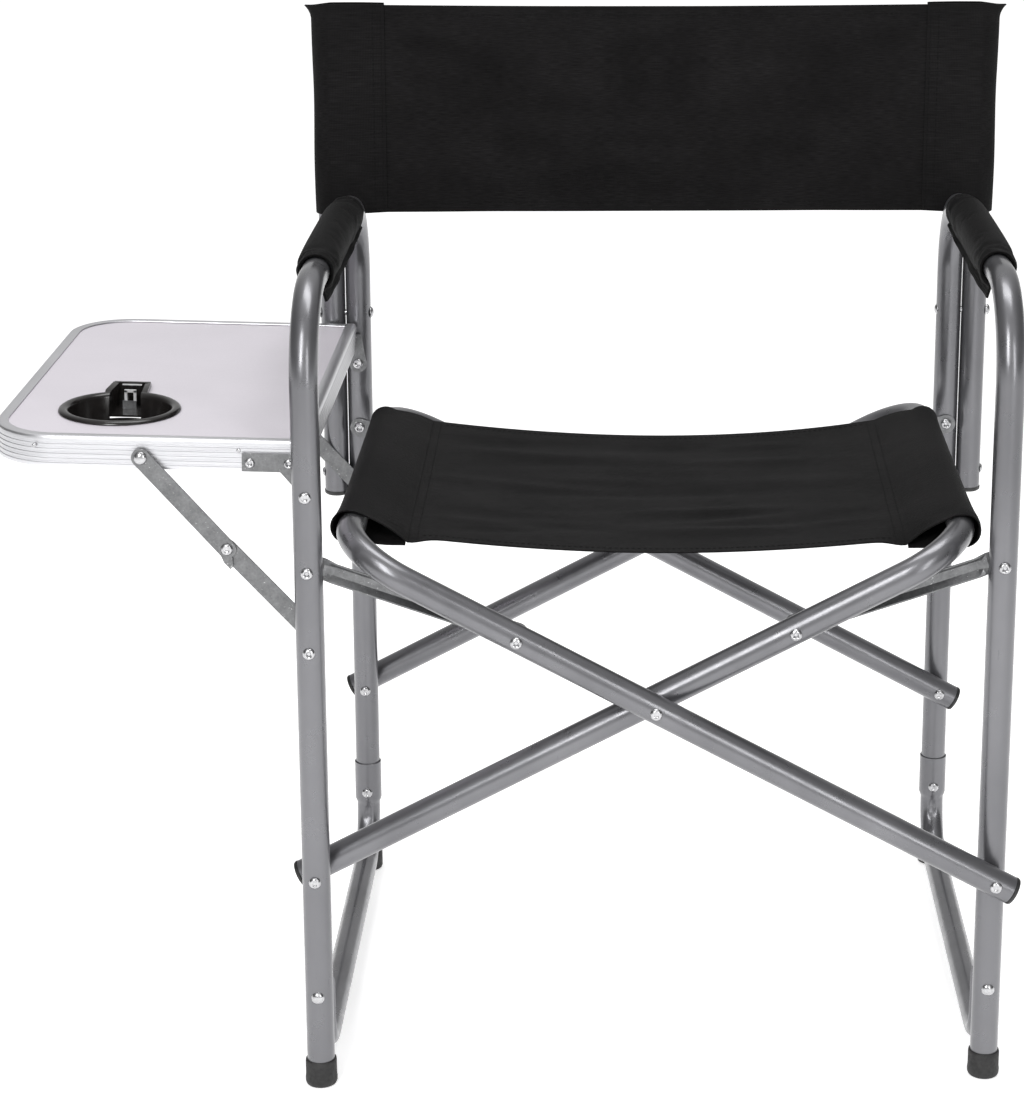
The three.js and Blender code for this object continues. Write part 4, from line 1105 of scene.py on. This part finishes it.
def back_sleeve(side, sign, layer, share):
    """Two layers from the stitch row round the post, with the hem's ears standing out at the top."""
    centre = np.array([sign * POST_X, DEPTH + layer])
    seam = sign * (BACK_STITCH - 4)
    low, high = back_bottom(sign * POST_X), back_top(sign * POST_X)
    spots = []
    for s in share:
        z = low + (high - low) * s
        flare = np.clip((z - (high - 16)) / 16, 0, 1)
        ring = []
        for angle in np.linspace(-100, 100, 25):
            a = radians(angle)
            reach, facing = BACK_RADIUS + 0.5 * sin(3 * a + s * 9), max(cos(a), 0)
            outward = reach * cos(a) + 7.0 * flare ** 2.5 * facing ** 3
            ring.append(centre + np.array([sign * outward, reach * sin(a) * (1 - 0.35 * flare * facing ** 2)]))
        front, rear = (np.array([seam, back_panel_y(seam, z) + gap]) for gap in (-1.6, 1.6))
        column = bowed(front, ring[0], -0.84)[:-1] + ring + bowed(ring[-1], rear, 0.84)[1:]
        spots.append([(x, y, z + (1.2 * flare * sin(8 * k / len(column)))) for k, (x, y) in enumerate(column)])
    surface = np.array(spots).transpose(1, 0, 2)
    spans = np.linalg.norm(np.diff(surface[:, 20], axis=0), axis=1).sum()
    height = BACK_HIGH - BACK_LOW
    piece = cloth_shell(side + "_sleeve_cloth", surface, (spans, height))
    threads = []
    for k, x in enumerate((BACK_STITCH - 1, BACK_STITCH + 7)):
        for face, direction, line in (("front", -1, surface[:9]), ("back", 1, surface[-9:])):
            path = []
            for z in np.linspace(BACK_LOW + 2, BACK_HIGH - 4, 50):
                column = line[:, int(round((z - BACK_LOW) / height * (len(share) - 1)))]
                y = float(np.interp(x, *sorted_line(column, sign))) + direction * THREAD_LIFT
                path.append((sign * x, y, z))
            threads.append(stitch_row("%s_%s_%d" % (side, face, k), path, [(0, direction, 0)] * len(path)))
    threads = join(side + "_sleeve_threads", threads)
    for item in (piece, threads):
        stand_for(item, side + "_frame", "canvas")
    if sign < 0:
        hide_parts("back_sling")


def sorted_line(column, sign):
    order = np.argsort(column[:, 0] * sign)
    return column[order, 0] * sign, column[order, 1]


def back_hems(side, xs):
    parts = []
    for name, offset in (("upper", -HEM), ("lower", HEM)):
        path = []
        for x in xs[1:]:
            z = (back_top(x) if offset < 0 else back_bottom(x)) + offset
            path.append((x, back_panel_y(x, z) - THREAD_LIFT, z))
        parts.append(stitch_row("%s_%s_hem" % (side, name), path, [(0, -1, 0)] * len(path)))
    return join(side + "_back_hems", parts)


# ---- Arm pads ----
PAD_R = 19.0
PAD_INNER = 12.9


def pad_outline(angle):
    """The sleeve's outer radius: rounder below, where the seam gathers it."""
    return PAD_R - 0.6 + 1.9 * max(0.0, -sin(angle)) ** 2


def arm_pad(side, sign, _):
    near, far = low_end(side + "_arm_pad").y, high_end(side + "_arm_pad").y
    x = sign * LEG_X
    around, along = 48, 64

    def ring(y, radius=None):
        pull = 1 - 0.10 * exp(-(min(y - near, far - y) / 7) ** 2)
        row = []
        for k in range(around):
            angle = 2 * pi * k / around
            reach = radius or pad_outline(angle) * pull - 0.6
            row.append((x + reach * cos(angle), y, ARM_Z + reach * sin(angle)))
        return row

    rows = [ring(y) for y in np.linspace(near + 1.5, far - 1.5, along)]
    rows += [ring(far - 0.2, 16.4), ring(far - 0.9, 14.2)]
    rows += [ring(y, PAD_INNER) for y in np.linspace(far - 3, near + 3, 10)]
    rows += [ring(near + 0.9, 14.2), ring(near + 0.2, 16.4)]
    verts = [p for row in rows for p in row]
    u = np.concatenate([np.linspace(0, far - near, along), np.linspace(far - near, 0, len(rows) - along)])
    v = np.tile(np.linspace(0, 2 * pi * PAD_R, around), len(rows))
    piece = make(side + "_pad_cover", verts, grid_faces(len(rows), around, wrap_rows=True), PAD_CLOTH, 180,
                 np.stack([np.repeat(u, around), v], 1) * MM)
    firm = {i for i in range(len(verts)) if i // around >= along + 1 or i // around in (0, along - 1)}
    seam = {r * around + seam_column(sign, around) for r in range(along)}
    swell(piece, sorted(firm | seam), 2.6)
    step = piece.modifiers.new("smooth", "SUBSURF")
    step.levels = step.render_levels = 1
    bpy.context.view_layer.update()
    applied(piece)
    piece.data.polygons.foreach_set("use_smooth", [True] * len(piece.data.polygons))
    flap, threads = pad_flap(side, sign, x, near, far)
    for item in (piece, flap, threads):
        stand_for(item, side + "_frame", "foam")
    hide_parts(side + "_arm_pad")


def seam_column(sign, around):
    angle = radians(-62) if sign < 0 else radians(180 + 62)
    return int(round((angle % (2 * pi)) / (2 * pi) * around)) % around


def swell(piece, pinned, limit):
    """Blows the cover up a little against its pinned seam and ends, by cloth simulation."""
    before = np.array([v.co for v in piece.data.vertices])
    group = piece.vertex_groups.new(name="pins")
    group.add([int(i) for i in pinned], 1.0, "REPLACE")
    cloth = piece.modifiers.new("cloth", "CLOTH")
    for name, value in dict(
            quality=6, mass=0.15, use_pressure=True, uniform_pressure_force=3.0, shrink_min=-0.035,
            tension_stiffness=25, compression_stiffness=18, bending_stiffness=0.25,
            vertex_group_mass="pins").items():
        setattr(cloth.settings, name, value)
    cloth.settings.effector_weights.gravity = 0
    cloth.collision_settings.use_collision = False
    cloth.point_cache.frame_start, cloth.point_cache.frame_end = 1, 20
    for number in range(1, 21):
        bpy.context.scene.frame_set(number)
    applied(piece)
    bpy.context.scene.frame_set(1)
    move = np.array([v.co for v in piece.data.vertices]) - before
    length = np.linalg.norm(move, axis=1, keepdims=True)
    move *= np.minimum(1, limit * MM / np.maximum(length, 1e-12))
    piece.data.vertices.foreach_set("co", (before + move).astype(np.float32).ravel())
    piece.data.update()
    piece.vertex_groups.clear()


def pad_flap(side, sign, x, near, far):
    """The two edges of the cover, sewn flat together; deepest at the front, where the end hangs free."""
    rows, sides = [], []
    for t in np.linspace(0, 1, 8):
        row, normals = [], []
        for s in np.linspace(0, 1, 60):
            angle = radians(-70 + 22 * s)
            out = np.array([-sign * cos(angle), sin(angle)])
            depth = 3.0 + 7.0 * (1 - s) ** 0.8
            sway = 0.9 * t * sin(14 * s + sign) + 0.7 * t * sin(31 * s)
            spot = np.array([x, ARM_Z]) + out * (PAD_R - 1.0 + depth * t) + np.array([-out[1], out[0]]) * sway
            row.append((spot[0], near + 1 + (far - near - 2) * s, spot[1]))
            normals.append((-out[1], 0.0, out[0]))
        rows.append(row)
        sides.append(normals)
    surface, sides = np.array(rows), np.array(sides)
    flap = cloth_shell(side + "_pad_flap", surface, (10, far - near), 2.2, PAD_CLOTH)
    parts = []
    for k, row in enumerate((3, 5)):
        for direction in (-1, 1):
            path = surface[row] + sides[row] * direction * 1.2
            parts.append(stitch_row("%s_flap_%d_%d" % (side, k, direction), path.tolist(),
                                    [tuple(n * direction) for n in sides[row]]))
    return flap, join(side + "_pad_threads", parts)


# ---- Stage ----
CAMERA = dict(place=(-22.4, -2256.6, 1246.4), pitch=0.2546, yaw=-0.01205, roll=-0.0017, focal=2755.0,
              centre=(600.0, 380.0))
WIDTH, HEIGHT = 1024, 1099
SENSOR = 36


def camera():
    data = bpy.data.cameras.new("camera")
    eye = bpy.data.objects.new("camera", data)
    bpy.context.scene.collection.objects.link(eye)
    bpy.context.scene.camera = eye
    data.sensor_width = SENSOR
    data.lens = SENSOR * CAMERA["focal"] / HEIGHT
    data.shift_x = -(CAMERA["centre"][0] - WIDTH / 2) / HEIGHT
    data.shift_y = (CAMERA["centre"][1] - HEIGHT / 2) / HEIGHT
    data.clip_end = 50
    eye.location = world(*CAMERA["place"])
    turn = Matrix.Rotation(-CAMERA["yaw"], 3, "Z") @ Matrix.Rotation(pi / 2 - CAMERA["pitch"], 3, "X")
    turn = turn @ Matrix.Rotation(-CAMERA["roll"], 3, "Z")
    eye.rotation_euler = turn.to_euler()


def area_light(name, place, aim, size, power):
    data = bpy.data.lights.new(name, "AREA")
    data.shape = "RECTANGLE"
    data.size, data.size_y = size
    data.energy = power
    lamp = bpy.data.objects.new(name, data)
    bpy.context.scene.collection.objects.link(lamp)
    lamp.location = place
    lamp.rotation_euler = (Vector(aim) - Vector(place)).to_track_quat("-Z", "Y").to_euler()


def stage():
    bpy.context.scene.view_settings.view_transform = "Standard"
    bpy.ops.mesh.primitive_plane_add(size=30, location=(0, 0, -0.0005))
    floor = bpy.context.object
    floor.name = "floor"
    paper = Paint("studio_paper", (0.93, 0.93, 0.93), 0.9, Emission_Color=(1, 1, 1, 1), Emission_Strength=0.6)
    paper.colour(paper.ramp(paper.noise(2, 2), (0.3, (0.925, 0.925, 0.925)), (0.7, (0.935, 0.935, 0.935))))
    floor.data.materials.append(paper.material)
    sky = bpy.data.worlds.new("studio")
    bpy.context.scene.world = sky
    sky.use_nodes = True
    softbox_room(sky.node_tree)
    area_light("key", (-0.7, -2.0, 1.8), (0, 0, 0.45), (0.6, 1.5), 27)
    area_light("fill", (1.2, -2.1, 1.2), (0, 0, 0.5), (0.4, 1.5), 11)
    area_light("top", (0.1, 0.2, 3.0), (0, 0, 0.4), (2.0, 1.0), 30)


def softbox_room(tree):
    """White all round for the eye; for the light, bright before, behind and above, and dim at both sides."""
    room = Nodes(tree)
    background = tree.nodes["Background"]
    background.inputs["Color"].default_value = (1, 1, 1, 1)
    split = room.node("ShaderNodeSeparateXYZ")
    room.link(room.coords.outputs["Generated"], split.inputs[0])
    front = room.node("ShaderNodeMapRange",
                      **{"From Min": -0.5, "From Max": 0.6, "To Min": 0.68, "To Max": 0.62})
    room.link(split.outputs["Y"], front.inputs["Value"])
    fall = room.node("ShaderNodeMapRange", interpolation_type="SMOOTHSTEP",
                     **{"From Min": 0.30, "From Max": 0.92, "To Max": 0.12})
    room.link(front.outputs[0], fall.inputs["To Min"])
    room.link(room.maths("ABSOLUTE", split.outputs["X"]), fall.inputs["Value"])
    mix = room.node("ShaderNodeMix")
    mix.inputs[3].default_value = 1.0
    room.link(room.node("ShaderNodeLightPath").outputs["Is Camera Ray"], mix.inputs[0])
    room.link(fall.outputs[0], mix.inputs[2])
    room.link(mix.outputs[0], background.inputs["Strength"])


# ---- Build ----
camera()
stage()
for each in SIDES:
    arm_frame(*each)
    side_rail(*each)
    back_post(*each)
    feet(*each)
    arm_pad(*each)
scissor("a", 1, LAYER, "scissor_a")
scissor("b", -1, 0.0, "scissor_b")
all_rivets()
strap_work()
table()
seat_sling()
back_sling()
